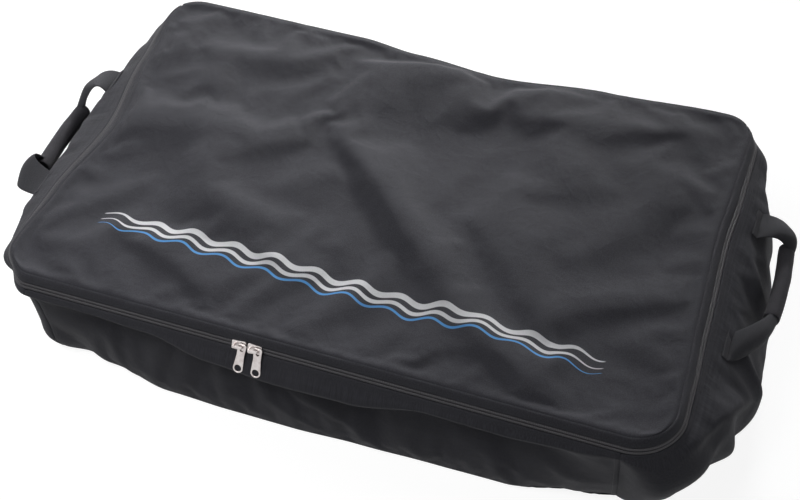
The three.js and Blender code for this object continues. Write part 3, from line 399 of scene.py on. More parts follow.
# Folds of the lid: crest points with heights, then how far each side falls away.
# The first side is to the left of the way that the crest runs.
LID_FOLDS = [
    ([(-105, 95, 0), (-65, 50, 7), (-18, 0, 11), (30, -50, 12), (85, -100, 11), (120, -135, 9),
      (160, -180, 8), (215, -212, 8), (280, -252, 3)], 38, 23),
    ([(-405, 30, 3), (-320, 30, 6), (-250, 24, 8), (-200, 22, 6), (-140, 48, 0)], 38, 46),
    ([(-222, 10, 0), (-236, -38, 9), (-218, -80, 9), (-160, -102, 7), (-95, -128, 0)], 30, 42),
    ([(-130, 206, 0), (-85, 212, 7), (-20, 226, 9), (35, 238, 5), (60, 246, 0)], 13, 85),
    ([(80, 208, 0), (110, 216, 5), (150, 230, 6), (200, 246, 2)], 11, 46),
    ([(20, 182, 0), (70, 178, 3.5), (150, 178, 4.5), (250, 192, 4), (400, 232, 2)], 32, 20),
    ([(-412, 178, 1), (-320, 172, 3), (-230, 178, 3), (-120, 218, 0)], 26, 24),
    ([(-415, 120, 1), (-300, 112, 2), (-180, 118, 0)], 20, 24),
    ([(100, 5, 0), (150, -45, 4), (200, -92, 4.5), (245, -140, 3), (300, -215, 2)], 60, 22),
    ([(170, 120, 0), (215, 88, 3.5), (290, 62, 0)], 30, 26),
    ([(130, -10, 0), (190, -28, 2.5), (280, -40, 0)], 30, 26),
    ([(-310, -172, 0), (-245, -190, 3), (-195, -207, 4), (-130, -247, 1)], 34, 16),
    ([(-400, -232, 0), (-350, -215, 2), (-300, -195, 0)], 18, 20),
    ([(-130, -140, 0), (-95, -160, 3), (-55, -184, 0)], 26, 12),
    ([(340, -120, 0), (385, -165, 2.5), (410, -215, 0)], 30, 20),
    ([(300, 150, 0), (350, 95, 2), (372, 40, 2.5), (380, -20, 0)], 16, 34),
]
# Wide rises and hollows of the lid: centre, half sizes and height.
LID_SWELLS = [
    (60, 20, 260, 150, 2), (40, 90, 130, 70, -8), (368, 25, 34, 52, -8), (-290, -70, 60, 70, -3),
    (330, -190, 90, 60, -4), (-60, -60, 70, 60, -2), (70, 262, 70, 30, -4), (250, 130, 120, 60, 2),
]

# How steeply a fold falls away from its crest.
FOLD_FALL = 1.2


def fold_heights(x, y, folds, power=2.0):
    """Heights of the folds at arrays of points. A larger power gives a rounder crest."""
    total = np.zeros_like(x)
    for crest, left, right in folds:
        nearest, share = np.full_like(x, np.inf), np.zeros_like(x)
        for (ax, ay, ah), (bx, by, bh) in zip(crest, crest[1:]):
            dx, dy = bx - ax, by - ay
            t = np.clip(((x - ax) * dx + (y - ay) * dy) / (dx * dx + dy * dy), 0, 1)
            px, py = x - ax - dx * t, y - ay - dy * t
            far = np.hypot(px, py)
            reach = np.where(dx * py - dy * px > 0, left, right)
            closer = far < nearest
            nearest = np.where(closer, far, nearest)
            high = (ah + (bh - ah) * t) * np.exp(-FOLD_FALL * (far / reach) ** power)
            share = np.where(closer, high, share)
        total += share
    return total


def ripples(x, y, size, seed):
    """Smooth noise over arrays of points, one rise or hollow for each size."""
    flat = [noise.noise(Vector((a / size, b / size, seed))) for a, b in zip(x.ravel(), y.ravel())]
    return np.array(flat).reshape(x.shape)


def lid_edge(place, inside, up):
    """A point so far inside the lid's seam, at the height up."""
    return stand(place, (-wall_at(place)["draw"] - inside, up))


def filled_grid(edge, nx, ny):
    """A grid inside an outline, with its own corners halfway round the outline's rounded ones.

    Gives its points, their flat places, the grid's indices round its edge, and the edge's places.
    """

    def run(first, last, count):
        total = places_between(first, last, 1.0)
        wanted = np.linspace(0, total[1][-1], count + 1)
        return [float(v) for v in np.interp(wanted, total[1], total[0])]

    front, right = run(-0.5, 1.5, nx), run(1.5, 3.5, ny)
    back, left = run(3.5, 5.5, nx)[::-1], run(5.5, 7.5, ny)[::-1]
    u, v = np.linspace(0, 1, nx + 1)[None, :, None], np.linspace(0, 1, ny + 1)[:, None, None]

    def patch(at):
        bottom, top, start, end = (np.array([at(p) for p in side]) for side in (front, back, left, right))
        rows = (1 - v) * bottom[None] + v * top[None] + (1 - u) * start[:, None] + u * end[:, None]
        corners = (1 - u) * (1 - v) * bottom[0] + u * (1 - v) * bottom[-1]
        return rows - corners - (1 - u) * v * top[0] - u * v * top[-1]

    ring = [(0, i) for i in range(nx + 1)] + [(j, nx) for j in range(1, ny + 1)]
    ring += [(ny, i) for i in range(nx - 1, -1, -1)] + [(j, 0) for j in range(ny - 1, 0, -1)]
    ring_places = front + right[1:] + back[::-1][1:] + left[::-1][1:-1]
    return patch(edge), patch(lambda place: np.array(outline_at(place)[:2])), ring, ring_places


LID_COLUMNS, LID_ROWS = 138, 88
LID_EDGE_IN = 1.2
# Cloth turned down at the lid's edge: how far inside the seam, how high, and the run of the cloth.
LID_TURN = ((0.5, -0.9, 1.5), (0.25, -2.6, 3.4), (0.3, -5.0, 6.0))
# Unevenness of the lid: height, size and seed of the noise.
LID_WAVES = ((1.6, 80, 3.1), (0.8, 32, 8.2))
# Puckers and the round swelling along the lid's seam: height, distance from the edge, reach.
LID_PUCKER, PUCKER_REACH, PUCKER_SIZE, PUCKER_SEED = 0.8, 14, 11, 1.7
SWELLING, SWELLING_IN, SWELLING_REACH, SWELLING_START = 1.6, 7, 6, 5
# Distances from the edge over which rises and hollows reach their full size.
RISE_EASE, HOLLOW_EASE = 26, 60
# How firmly the lid's frame holds its cloth: at the edge, next to it and elsewhere, with cells counted in.
LID_HOLD, LID_EDGE_CELLS, LID_NEXT_CELLS = (1.0, 0.12, 0.05), 2, 4
# How much larger the lid is cut, how far its cloth may move, and how stiffly it bends.
LID_LARGER, LID_MOVE, LID_STIFF = 0.012, 3.6, 1.2


def lid_sheet():
    """The lid's cloth, with its folds, and its edge turned down into the seam."""
    seam = lambda place: lid_edge(place, LID_EDGE_IN, HEIGHT)
    spots, flat, ring, ring_places = filled_grid(seam, LID_COLUMNS, LID_ROWS)
    x, y = spots[:, :, 0], spots[:, :, 1]
    i, j = np.meshgrid(np.arange(LID_COLUMNS + 1), np.arange(LID_ROWS + 1))
    cells_in = np.minimum(np.minimum(i, LID_COLUMNS - i), np.minimum(j, LID_ROWS - j))
    deep = CLOTH_STEP * cells_in
    dome = CROWN * (1 - (x / (LENGTH / 2)) ** 2) * (1 - (y / (WIDTH / 2)) ** 2)
    swell = sum(
        high * np.exp(-(((x - cx) / sx) ** 2) - ((y - cy) / sy) ** 2)
        for cx, cy, sx, sy, high in LID_SWELLS
    )
    rise = dome + fold_heights(x, y, LID_FOLDS) + swell
    fine = sum(high * ripples(x, y, size, seed) for high, size, seed in LID_WAVES)
    pucker = LID_PUCKER * np.exp(-deep / PUCKER_REACH) * ripples(x, y, PUCKER_SIZE, PUCKER_SEED)
    pucker *= smooth_all(deep / CLOTH_STEP)
    roll = SWELLING * np.exp(-(((deep - SWELLING_IN) / SWELLING_REACH) ** 2))
    roll *= smooth_all(deep / SWELLING_START)
    shaped = rise * smooth_all(deep / np.where(rise > 0, RISE_EASE, HOLLOW_EASE))
    spots[:, :, 2] += shaped + fine * smooth_all(deep / RISE_EASE) + pucker + roll
    points, uv = spots.reshape(-1, 3).tolist(), flat.reshape(-1, 2).tolist()
    faces = grid_faces(LID_ROWS + 1, LID_COLUMNS + 1)
    firm = np.where(cells_in < LID_EDGE_CELLS, 0, np.where(cells_in < LID_NEXT_CELLS, 1, 2))
    hold = [LID_HOLD[k] for k in firm.ravel()]
    last = [row * (LID_COLUMNS + 1) + column for row, column in ring]
    for inside, up, run_out in LID_TURN:
        fresh = []
        for place in ring_places:
            points.append(lid_edge(place, inside, HEIGHT + up).tolist())
            edge_x, edge_y, way = outline_at(place)
            uv.append([edge_x + way[0] * run_out, edge_y + way[1] * run_out])
            hold.append(LID_HOLD[0])
            fresh.append(len(points) - 1)
        for k in range(len(ring)):
            n = (k + 1) % len(ring)
            faces.append((last[k], fresh[k], fresh[n], last[n]))
        last = fresh
    return points, faces, uv, hold


# Shader groups.
def new_group(name, inputs, outputs):
    """An empty group with named sockets, and its nodes for what goes in and what comes out."""
    group = bpy.data.node_groups.new(name, "ShaderNodeTree")
    for kind, direction in ((inputs, "INPUT"), (outputs, "OUTPUT")):
        for label, socket in kind:
            group.interface.new_socket(label, in_out=direction, socket_type="NodeSocket" + socket)
    return group, group.nodes.new("NodeGroupInput"), group.nodes.new("NodeGroupOutput")


class Paper:
    """Short ways to add nodes to a tree."""

    def __init__(self, tree):
        self.tree, self.nodes = tree, tree.nodes

    def add(self, kind, **values):
        node = self.nodes.new("ShaderNode" + kind)
        for key, value in values.items():
            setattr(node, key, value)
        return node

    def put(self, socket, value):
        if isinstance(value, bpy.types.NodeSocket):
            self.tree.links.new(value, socket)
        else:
            socket.default_value = value

    def math(self, operation, a, b=0.0, c=0.0, clamp=False):
        node = self.add("Math", operation=operation, use_clamp=clamp)
        for socket, value in zip(node.inputs, (a, b, c)):
            self.put(socket, value)
        return node.outputs[0]

    def mix(self, share, a, b):
        node = self.add("Mix", data_type="RGBA")
        self.put(node.inputs["Factor"], share)
        self.put(node.inputs[6], a)
        self.put(node.inputs[7], b)
        return node.outputs[2]

    def range(self, value, low, high, to_low=0.0, to_high=1.0):
        node = self.add("MapRange", interpolation_type="SMOOTHSTEP")
        for socket, v in zip(node.inputs, (value, low, high, to_low, to_high)):
            self.put(socket, v)
        return node.outputs[0]

    def noise(self, vector, scale, detail=2.0, rough=0.5):
        node = self.add("TexNoise")
        self.put(node.inputs["Vector"], vector)
        self.put(node.inputs["Scale"], scale)
        self.put(node.inputs["Detail"], detail)
        self.put(node.inputs["Roughness"], rough)
        return node.outputs["Fac"]

    def scale(self, vector, x, y, z=1.0):
        node = self.add("Mapping")
        self.put(node.inputs["Vector"], vector)
        node.inputs["Scale"].default_value = (x, y, z)
        return node.outputs["Vector"]

    def bump(self, height, distance, normal=None, strength=1.0):
        node = self.add("Bump")
        self.put(node.inputs["Height"], height)
        node.inputs["Distance"].default_value = distance
        node.inputs["Strength"].default_value = strength
        if normal is not None:
            self.put(node.inputs["Normal"], normal)
        return node.outputs["Normal"]


# Thick and thin stretches of the threads: how many in a metre along a thread and across it.
SLUBS_ALONG, SLUBS_ACROSS = 60, 1500
# How much the slubs and the crossing threads show, in the relief and in the tone.
SLUB_RELIEF, SLUB_TONE, CROSS_RELIEF, CROSS_TONE = 0.35, 0.5, 0.5, 0.12


def weave_group():
    """Plain weave of uneven threads: its relief, and how light each thread is."""
    group, given, made = new_group(
        "plain weave", [("Flat", "Vector"), ("Threads", "Float"), ("Cross threads", "Float")],
        [("Relief", "Float"), ("Thread tone", "Float")])
    p = Paper(group)
    split = p.add("SeparateXYZ")
    p.put(split.inputs[0], given.outputs["Flat"])
    along = p.math("MULTIPLY", split.outputs[0], given.outputs["Threads"])
    across = p.math("MULTIPLY", split.outputs[1], given.outputs["Cross threads"])
    wave_a = p.math("SINE", p.math("MULTIPLY", along, math.pi))
    wave_b = p.math("SINE", p.math("MULTIPLY", across, math.pi))
    cross = p.math("MULTIPLY", wave_a, wave_b)
    relief = p.math("MULTIPLY_ADD", cross, CROSS_RELIEF, 1 - CROSS_RELIEF)
    slub_a = p.noise(p.scale(given.outputs["Flat"], SLUBS_ALONG, SLUBS_ACROSS), 1.0, 1.0)
    slub_b = p.noise(p.scale(given.outputs["Flat"], SLUBS_ACROSS, SLUBS_ALONG), 1.0, 1.0)
    slubs = p.math("ADD", slub_a, slub_b)
    tone = p.math("MULTIPLY_ADD", cross, CROSS_TONE, p.math("MULTIPLY", slubs, SLUB_TONE))
    p.put(made.inputs["Relief"], p.math("MULTIPLY_ADD", slubs, SLUB_RELIEF, relief))
    p.put(made.inputs["Thread tone"], tone)
    return group


# Sizes of the creases, as noise scales in a metre: how the cloth drifts, broad creases, sharp ones.
DRIFT_SCALE, DRIFT, BROAD_SCALE, SHARP_SCALE = 9.0, 0.05, 22.0, 38.0
SHARP_WIDTH, SHARP_RELIEF = 0.22, 0.12
# Dust patches and their limits in the noise, and the grain of the cloth's coating.
DUST_SCALE, DUST_NONE, DUST_FULL, GRAIN_SCALE = 16.0, 0.42, 0.72, 620.0


def crease_group():
    """Soft handling creases and rubbed patches, from small puckers to broad ones."""
    group, given, made = new_group(
        "handling creases", [("Flat", "Vector")],
        [("Creases", "Float"), ("Dust", "Float"), ("Grain", "Float")])
    p = Paper(group)
    warp = p.add("TexNoise")
    p.put(warp.inputs["Vector"], given.outputs["Flat"])
    warp.inputs["Scale"].default_value = DRIFT_SCALE
    bent = p.add("VectorMath", operation="MULTIPLY_ADD")
    p.put(bent.inputs[0], warp.outputs["Color"])
    bent.inputs[1].default_value = (DRIFT, DRIFT, DRIFT)
    p.put(bent.inputs[2], given.outputs["Flat"])
    broad = p.noise(bent.outputs[0], BROAD_SCALE, 3.0, 0.55)
    signed = p.math("MULTIPLY_ADD", p.noise(bent.outputs[0], SHARP_SCALE, 2.0, 0.5), 2.0, -1.0)
    ridge = p.range(p.math("ABSOLUTE", signed), 0.0, SHARP_WIDTH, 1.0, 0.0)
    dust = p.range(p.noise(given.outputs["Flat"], DUST_SCALE, 6.0, 0.7), DUST_NONE, DUST_FULL)
    p.put(made.inputs["Creases"], p.math("MULTIPLY_ADD", ridge, SHARP_RELIEF, broad))
    p.put(made.inputs["Dust"], dust)
    p.put(made.inputs["Grain"], p.noise(given.outputs["Flat"], GRAIN_SCALE, 2.0, 0.8))
    return group


WEAVE, CREASES = weave_group(), crease_group()


def use_group(p, group, **values):
    """Places a group in a material. An underscore in a value's name stands for a space in the socket's."""
    node = p.add("Group")
    node.node_tree = group
    for key, value in values.items():
        p.put(node.inputs[key.replace("_", " ")], value)
    return node


def painted(name):
    """A new material, with its paper and its main shader."""
    material = bpy.data.materials.new(name)
    material.use_nodes = True
    p = Paper(material.node_tree)
    shader = p.nodes["Principled BSDF"]
    return material, p, shader


# Against a cloth's colour: its darkest and lightest threads, and the dust on it.
DARK_THREAD, LIGHT_THREAD, DUSTY, DUST_ADDED, DUST_SHOWN = 0.62, 1.5, 1.55, 0.008, 0.3
# How much the grain and the weave show in the colour, and the grain in the roughness.
GRAIN_SHOWN, WEAVE_SHOWN, GRAIN_ROUGH = 0.62, 0.38, 0.16
PALE_INK, BLUE_INK, INK_WORN, INK_SMOOTHER = (0.8, 0.8, 0.82, 1), (0.1, 0.35, 0.75, 1), 0.1, 0.2
CLOTH_GLOSS, SHEEN_ROUGH = 0.18, 0.45


def cloth_paint(name, colour, threads=1900, cross=1700, rough=0.72, relief=0.00022, crease=0.0012,
                sheen=0.05, print_mask=None):
    """Woven cloth in its own flat coordinates. threads and cross count the threads of each way in a metre."""
    material, p, shader = painted(name)
    flat = p.add("UVMap", uv_map="flat").outputs[0]
    weave = use_group(p, WEAVE, Flat=flat, Threads=float(threads), Cross_threads=float(cross))
    worn = use_group(p, CREASES, Flat=flat)
    dark = tuple(c * DARK_THREAD for c in colour) + (1,)
    light = tuple(c * LIGHT_THREAD for c in colour) + (1,)
    grain = p.range(worn.outputs["Grain"], 0.3, 0.7)
    woven = p.math("MULTIPLY", weave.outputs["Thread tone"], WEAVE_SHOWN)
    tone = p.math("MULTIPLY_ADD", grain, GRAIN_SHOWN, woven)
    base = p.mix(tone, dark, light)
    dusty = tuple(min(1, c * DUSTY + DUST_ADDED) for c in colour) + (1,)
    base = p.mix(p.math("MULTIPLY", worn.outputs["Dust"], DUST_SHOWN), base, dusty)
    rough_value = p.math("MULTIPLY_ADD", worn.outputs["Grain"], GRAIN_ROUGH, rough - GRAIN_ROUGH / 2)
    if print_mask is not None:
        pale, blue = print_mask(p, flat)
        thin = p.math("MULTIPLY_ADD", grain, INK_WORN, 1 - INK_WORN)
        base = p.mix(p.math("MULTIPLY", pale, thin), base, PALE_INK)
        base = p.mix(p.math("MULTIPLY", blue, thin), base, BLUE_INK)
        inked = p.math("ADD", pale, blue, clamp=True)
        rough_value = p.math("MULTIPLY_ADD", inked, -INK_SMOOTHER, rough_value)
    p.put(shader.inputs["Base Color"], base)
    p.put(shader.inputs["Roughness"], rough_value)
    shader.inputs["Specular IOR Level"].default_value = CLOTH_GLOSS
    shader.inputs["Sheen Weight"].default_value = sheen
    shader.inputs["Sheen Roughness"].default_value = SHEEN_ROUGH
    fine = p.bump(weave.outputs["Relief"], relief)
    p.put(shader.inputs["Normal"], p.bump(worn.outputs["Creases"], crease, fine))
    return material


# The printed band, in metres of the lid's cloth: its slope and height, its ends, and its waves.
PRINT_SLOPE, PRINT_UP = -0.040, -0.1675
PRINT_LEFT, PRINT_RIGHT, PRINT_END = -0.34, 0.33, 0.002
TAPER_START, TAPER_END, TAPER_SHARE = 0.005, 0.08, 0.8
WAVE_SWING, WAVE_LENGTH, PRINT_EDGE = 0.0045, 0.056, 0.0003
# Each line's height, half its width, and where its wave starts.
PALE_LINES = ((0.0075, 0.0042, 0.0), (-0.005, 0.0028, 0.5))
BLUE_LINE = (-0.0145, 0.0017, 1.0)


def wave_print(p, flat):
    """A printed band of three wave lines, the lowest one blue."""
    split = p.add("SeparateXYZ")
    p.put(split.inputs[0], flat)
    x, y = split.outputs[0], split.outputs[1]
    middle = p.math("MULTIPLY_ADD", x, PRINT_SLOPE, PRINT_UP)

    def between(outside, inside):
        """1 on the printed stretch, easing in over so far outside and inside of its ends."""
        left = p.range(x, PRINT_LEFT - outside, PRINT_LEFT + inside)
        return p.math("MULTIPLY", left, p.range(x, PRINT_RIGHT + outside, PRINT_RIGHT - inside))

    printed, taper = between(PRINT_END, PRINT_END), between(TAPER_START, TAPER_END)

    def line(height, half, start):
        wave = p.math("SINE", p.math("MULTIPLY_ADD", x, 2 * math.pi / WAVE_LENGTH, start))
        centre = p.math("ADD", p.math("MULTIPLY_ADD", wave, WAVE_SWING, middle), height)
        far = p.math("ABSOLUTE", p.math("SUBTRACT", y, centre))
        width = p.math("MULTIPLY_ADD", taper, half * TAPER_SHARE, half * (1 - TAPER_SHARE))
        over = p.math("SUBTRACT", far, width)
        return p.math("MULTIPLY", p.range(over, PRINT_EDGE, -PRINT_EDGE), printed)

    pale = p.math("MAXIMUM", line(*PALE_LINES[0]), line(*PALE_LINES[1]))
    return pale, line(*BLUE_LINE)


LID_PAINT = cloth_paint("lid cloth", (0.041, 0.041, 0.049), print_mask=wave_print)
CLOTH_PAINT = cloth_paint("bag cloth", (0.038, 0.038, 0.045))
INNER_PAINT = cloth_paint("coated inner cloth", (0.045, 0.045, 0.05), rough=0.42, relief=0.0001, sheen=0.02)
TAPE_PAINT = cloth_paint("zip tape", (0.03, 0.03, 0.034), threads=2400, cross=1400, rough=0.8, crease=0.0003)
WEB_PAINT = cloth_paint(
    "strap webbing", (0.05, 0.05, 0.057), threads=900, cross=1300, relief=0.0005, crease=0.0004)
GRIP_PAINT = cloth_paint("grip cloth", (0.05, 0.048, 0.055), crease=0.0015)


def dress(obj, body, paint, nodes=()):
    """Gives a piece its paint and its body, and hides the solids that it stands for."""
    if not obj.data.materials:
        obj.data.materials.append(paint)
    if body:
        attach(obj, body)
    if nodes:
        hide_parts(*nodes)
    return obj


def lid_cloth():
    """The lid: sheet, wrinkles, thickness and paint."""
    points, faces, flat, hold = lid_sheet()
    lid = mesh_piece("lid_cloth", points, faces, flat)
    settle(lid, hold, LID_LARGER, LID_MOVE, LID_STIFF)
    thicken(lid, BAG_CLOTH, face=LID_PAINT, back=INNER_PAINT)
    refine(lid)
    dress(lid, "lid", LID_PAINT, ["lid_panel"])


lid_cloth()

# Strips of cloth along the band. A section holds its points as (across the band, proud of it).
BORDER_SECTION = [
    (0.2, -4.5), (0.25, -1.6), (0.9, -0.2), (2.2, 0.5), (4.5, 0.7), (7, 0.55), (9.4, 0.3),
    (10.9, -0.1), (11.5, -0.7), (11.2, -1.3), (9, -1.5),
]
LID_TAPE_SECTION = [(6, -2.4), (10, -2.3), (15.1, -2.3)]
BODY_TAPE_SECTION = [(16.9, -2.3), (20, -2.3), (24.7, -2.4)]
HINGE_SECTION = [
    (0.4, -3.2), (0.4, -1.2), (1.2, 0.1), (3.5, 0.5), (7, 0.4), (11, 0.1), (15, 0.3), (18.5, 0.3),
    (21.3, -0.3), (22, -1.4),
]
# Unevenness of a strip: size, step from row to row and seed of the noise, and share of the height.
STRIP_WAVES = ((17, 0.35, 2.0, 1.0), (7, 0.5, 5.0, 0.5))
HINGE_WAVES = ((17, 0.35, 12.0, 1.0),)
BORDER_WOBBLE, HINGE_WOBBLE, TAPE_WOBBLE = 0.35, 0.35, 0.1
STRIP_LEAN, HINGE_LEAN = 0.6, 0.4
BODY_TAPE_OVER = 0.01


def section_lengths(section, squash=1.0):
    """How far along its section each point lies."""
    reach = [0.0]
    for (a, m), (b, n) in zip(section, section[1:]):
        reach.append(reach[-1] + math.hypot(b - a, (n - m) * squash))
    return reach


def lengths_along(line):
    """How far along a line in space each of its points lies."""
    return np.concatenate([[0], np.cumsum(np.linalg.norm(np.diff(line, axis=0), axis=1))])


def strip(name, section, places, runs, wobble, waves, lean):
    """A strip of cloth along the band, and its width as cut. lean is how far its waves lean over."""
    reach, points, flat = section_lengths(section), [], []
    for row, (across, proud) in enumerate(section):
        uneven = [sum(share * ripple(run / size, row * step, seed) for size, step, seed, share in waves)
                  for run in runs]
        wave = np.array([wobble * value for value in uneven])
        points += on_band(np.array(places), across + lean * wave, proud + wave).tolist()
        flat += [(run, reach[row]) for run in runs]
    return mesh_piece(name, points, grid_faces(len(section), len(places)), flat), reach[-1]


def band_sheet(name, section, over, paint, body, node, wobble, thickness):
    """A strip along the whole zip, and over past its ends."""
    places, runs = places_between(ZIP_LEFT - over, ZIP_RIGHT + over, STRIP_STEP)
    obj, width = strip(name, section, places, runs, wobble, STRIP_WAVES, STRIP_LEAN)
    thicken(obj, thickness)
    dress(obj, body, paint, [node])


band_sheet("lid_border_cloth", BORDER_SECTION, 0, CLOTH_PAINT, "lid",
           "lid_border", BORDER_WOBBLE, STRIP_CLOTH)
band_sheet("lid_zip_tape", LID_TAPE_SECTION, 0, TAPE_PAINT, "lid",
           "zip_tape_lid", TAPE_WOBBLE, TAPE_CLOTH)
band_sheet("body_zip_tape", BODY_TAPE_SECTION, BODY_TAPE_OVER, TAPE_PAINT, "bag_body",
           "zip_tape_body", TAPE_WOBBLE, TAPE_CLOTH)


# Creases of the wall: crest points of run round the bag, depth down the wall and height, and reach each side.
WALL_FOLDS = [
    ([(790, 2, 0), (815, 12, 7), (850, 28, 12), (890, 52, 13), (925, 78, 11), (960, 110, 3)], 10, 26),
    ([(985, 20, 0), (975, 55, 8), (960, 85, 9), (935, 100, 4)], 9, 18),
    ([(905, 150, 0), (880, 122, 8), (868, 96, 9), (862, 70, 2)], 14, 14),
    ([(1120, 12, 0), (1085, 60, 5), (1070, 120, 6), (1075, 160, 0)], 18, 14),
    ([(1200, 30, 0), (1185, 90, 5), (1195, 150, 2)], 26, 30),
    ([(775, 40, 0), (800, 90, 4), (812, 140, 5), (815, 175, 1)], 18, 18),
    ([(330, 100, 0), (385, 122, 5), (440, 152, 5), (470, 176, 1)], 14, 20),
    ([(300, 128, 0), (345, 146, 4), (390, 172, 2)], 12, 16),
    ([(180, 70, 0), (240, 96, 3), (300, 112, 0)], 20, 22),
    ([(560, 100, 0), (610, 122, 4), (670, 140, 2)], 18, 22),
    ([(640, 80, 0), (690, 96, 4), (742, 88, 3)], 14, 20),
    ([(60, 60, 0), (95, 100, 4), (105, 150, 1)], 22, 22),
    ([(1500, 60, 0), (1560, 100, 4), (1600, 160, 2)], 30, 30),
    ([(1760, 40, 0), (1800, 100, 5), (1790, 165, 1)], 34, 30),
    ([(1960, 50, 0), (1925, 110, 4), (1880, 165, 2)], 28, 34),
    ([(2180, 30, 0), (2200, 90, 5), (2190, 150, 1)], 24, 28),
    ([(2330, 60, 0), (2400, 95, 4), (2470, 110, 0)], 24, 26),
    ([(2560, 30, 0), (2545, 90, 5), (2560, 150, 1)], 22, 24),
]

# Wall cloth, made as one ring and parted at its seams.
WALL_ROWS = 34
HEM = [(24.6, -1.5), (22.4, -1.4), (21.2, -0.9), (21.3, -0.2), (22.6, 0.25), (24.6, 0.15)]
# Unevenness of the wall: height, size along the run, steps down the wall and seed of the noise.
WALL_WAVES = ((1.6, 60, 3, 4.0), (1.1, 22, 4, 9.0))
# Puckers below the hem: height, reach down the wall, size and seed of the noise.
HEM_PUCKER, HEM_PUCKER_SHARE, HEM_PUCKER_START, HEM_PUCKER_SIZE, HEM_PUCKER_SEED = 0.35, 0.06, 0.02, 10, 6.0
WALL_EASE_SHARE = 0.08
WALL_FOLD_POWER = 1.35
# The strip that the zip pulls slide over: which way round, how far down, and how much it lies back.
FRONT_MIDDLE, HALF_FRONT, PULLS_EASE = 0.5, 0.5, 0.1
PULLS_SHARE, PULLS_EASE_SHARE, PULLS_LEAST, PULLS_DIP = 0.24, 0.14, 0.12, 0.7
# How firmly the wall's frame holds its cloth: at both edges, next to them and elsewhere, and how many rows.
WALL_HOLD, WALL_EDGE_ROWS, WALL_NEXT_ROWS = (1.0, 0.2, 0.06), 2, 5
SLACK_SHARE = 0.3
# How much larger the wall is cut, how far its cloth may move, and how stiffly it bends.
WALL_LARGER, WALL_MOVE, WALL_STIFF = 0.02, 4.0, 0.8


def under_pulls(place, share):
    """How freely the wall may wrinkle: little on the strip that the zip pulls slide over."""
    ahead = STRETCHES / 2
    away = abs((place + ahead) % STRETCHES - (ahead + FRONT_MIDDLE))
    along = smooth(away / PULLS_EASE - HALF_FRONT / PULLS_EASE)
    return max(along, smooth((share - PULLS_SHARE) / PULLS_EASE_SHARE), PULLS_LEAST)


def wall_column(place, run):
    """Down the wall at one place: each point, the way out, its small bend, and how freely folds rise."""
    curve = WallCurve(place)
    column = []
    for share in (i / WALL_ROWS for i in range(WALL_ROWS + 1)):
        bend = sum(high * ripple(run / size, share * steps, seed) for high, size, steps, seed in WALL_WAVES)
        pucker = HEM_PUCKER * math.exp(-share / HEM_PUCKER_SHARE)
        pucker *= ripple(run / HEM_PUCKER_SIZE, share, HEM_PUCKER_SEED)
        ease = smooth(share / WALL_EASE_SHARE) * smooth((1 - share) / WALL_EASE_SHARE)
        free = under_pulls(place, share)
        bend = bend * free - PULLS_DIP * (1 - free)
        lift = bend * ease + pucker * smooth(share / HEM_PUCKER_START)
        column.append((curve.point(share), curve.face(share), lift, ease))
    return column


def wall_ring():
    """Columns of the wall's points all round the bag, hem first, with their places and runs."""
    places, runs = places_between(0, STRETCHES, CLOTH_STEP)
    places, runs = places[:-1], runs[:-1]
    columns = [wall_column(place, run) for place, run in zip(places, runs)]
    spots = np.array([[point for point, _, _, _ in column] for column in columns])
    depths = np.cumsum(np.linalg.norm(np.diff(spots, axis=1, prepend=spots[:, :1]), axis=2), axis=1)
    folds = fold_heights(np.array(runs)[:, None] + 0 * depths, depths, WALL_FOLDS, WALL_FOLD_POWER)
    made = []
    for place, column, rise in zip(places, columns, folds):
        hem = [band_plane(place, across, proud) for across, proud in HEM]
        wall = [point + face * (lift + high * ease) for (point, face, lift, ease), high in zip(column, rise)]
        made.append([stand(place, p) for p in hem + wall])
    return places, runs, made


places, runs, columns = wall_ring()
rows, count = len(columns[0]), len(columns)
depth = [0.0]
for a, b in zip(columns[0], columns[0][1:]):
    depth.append(depth[-1] + float(np.linalg.norm(b - a)))


def settled_ring():
    """The ring's points, row by row, after its cloth has wrinkled."""
    points = [columns[j][i] for i in range(rows) for j in range(count)]
    flat = [(runs[j], depth[i]) for i in range(rows) for j in range(count)]
    ring = mesh_piece("wall_ring", points, grid_faces(rows, count, True), flat)
    hold, slack = [], []
    for i in range(rows):
        level = i - len(HEM)
        share = max(level, 0) / WALL_ROWS
        row_in = min(level, rows - 1 - i)
        firm = 0 if row_in < WALL_EDGE_ROWS else 1 if row_in < WALL_NEXT_ROWS else 2
        hold += [WALL_HOLD[firm]] * count
        slack += [under_pulls(place, share) * smooth(share / SLACK_SHARE) for place in places]
    settle(ring, hold, WALL_LARGER, WALL_MOVE, WALL_STIFF, slack)
    found = np.empty(len(points) * 3)
    ring.data.vertices.foreach_get("co", found)
    bpy.data.objects.remove(ring)
    return found.reshape(-1, 3) / MM - SHIFT


settled = settled_ring()


def ring_column(at):
    """One column of the settled ring, from the hem down."""
    return settled[np.arange(rows) * count + at % count]


def column_lift(at):
    """One column of the settled ring, and its ways out of the wall. The hem takes those below it."""
    line, before, after = (ring_column(at + step) for step in (0, -1, 1))
    lift = np.cross(np.gradient(line, axis=0), after - before)
    lift /= np.linalg.norm(lift, axis=1, keepdims=True)
    lift[: len(HEM) + 2] = lift[len(HEM) + 2]
    return line, lift


# How far a panel's fold lies back from its seam, and how deep its cloth turns in there.
FOLD_BACK = 0.8
TURNED_IN = (2.0, 0.9, 0)
# Runs of cloth over that turn, before a panel's first column and past its last one.
TURN_BEFORE, TURN_AFTER = (3, 1, 0), (5, 6, 8)


def seam_columns(at, beside):
    """Columns of a panel's edge: turned in at the seam, then the fold, a little back from the seam."""
    line, lift = column_lift(at)
    away = ring_column(at + beside) - line
    fold = line + away * FOLD_BACK / np.linalg.norm(away, axis=1, keepdims=True)
    return [fold - lift * deep for deep in TURNED_IN]


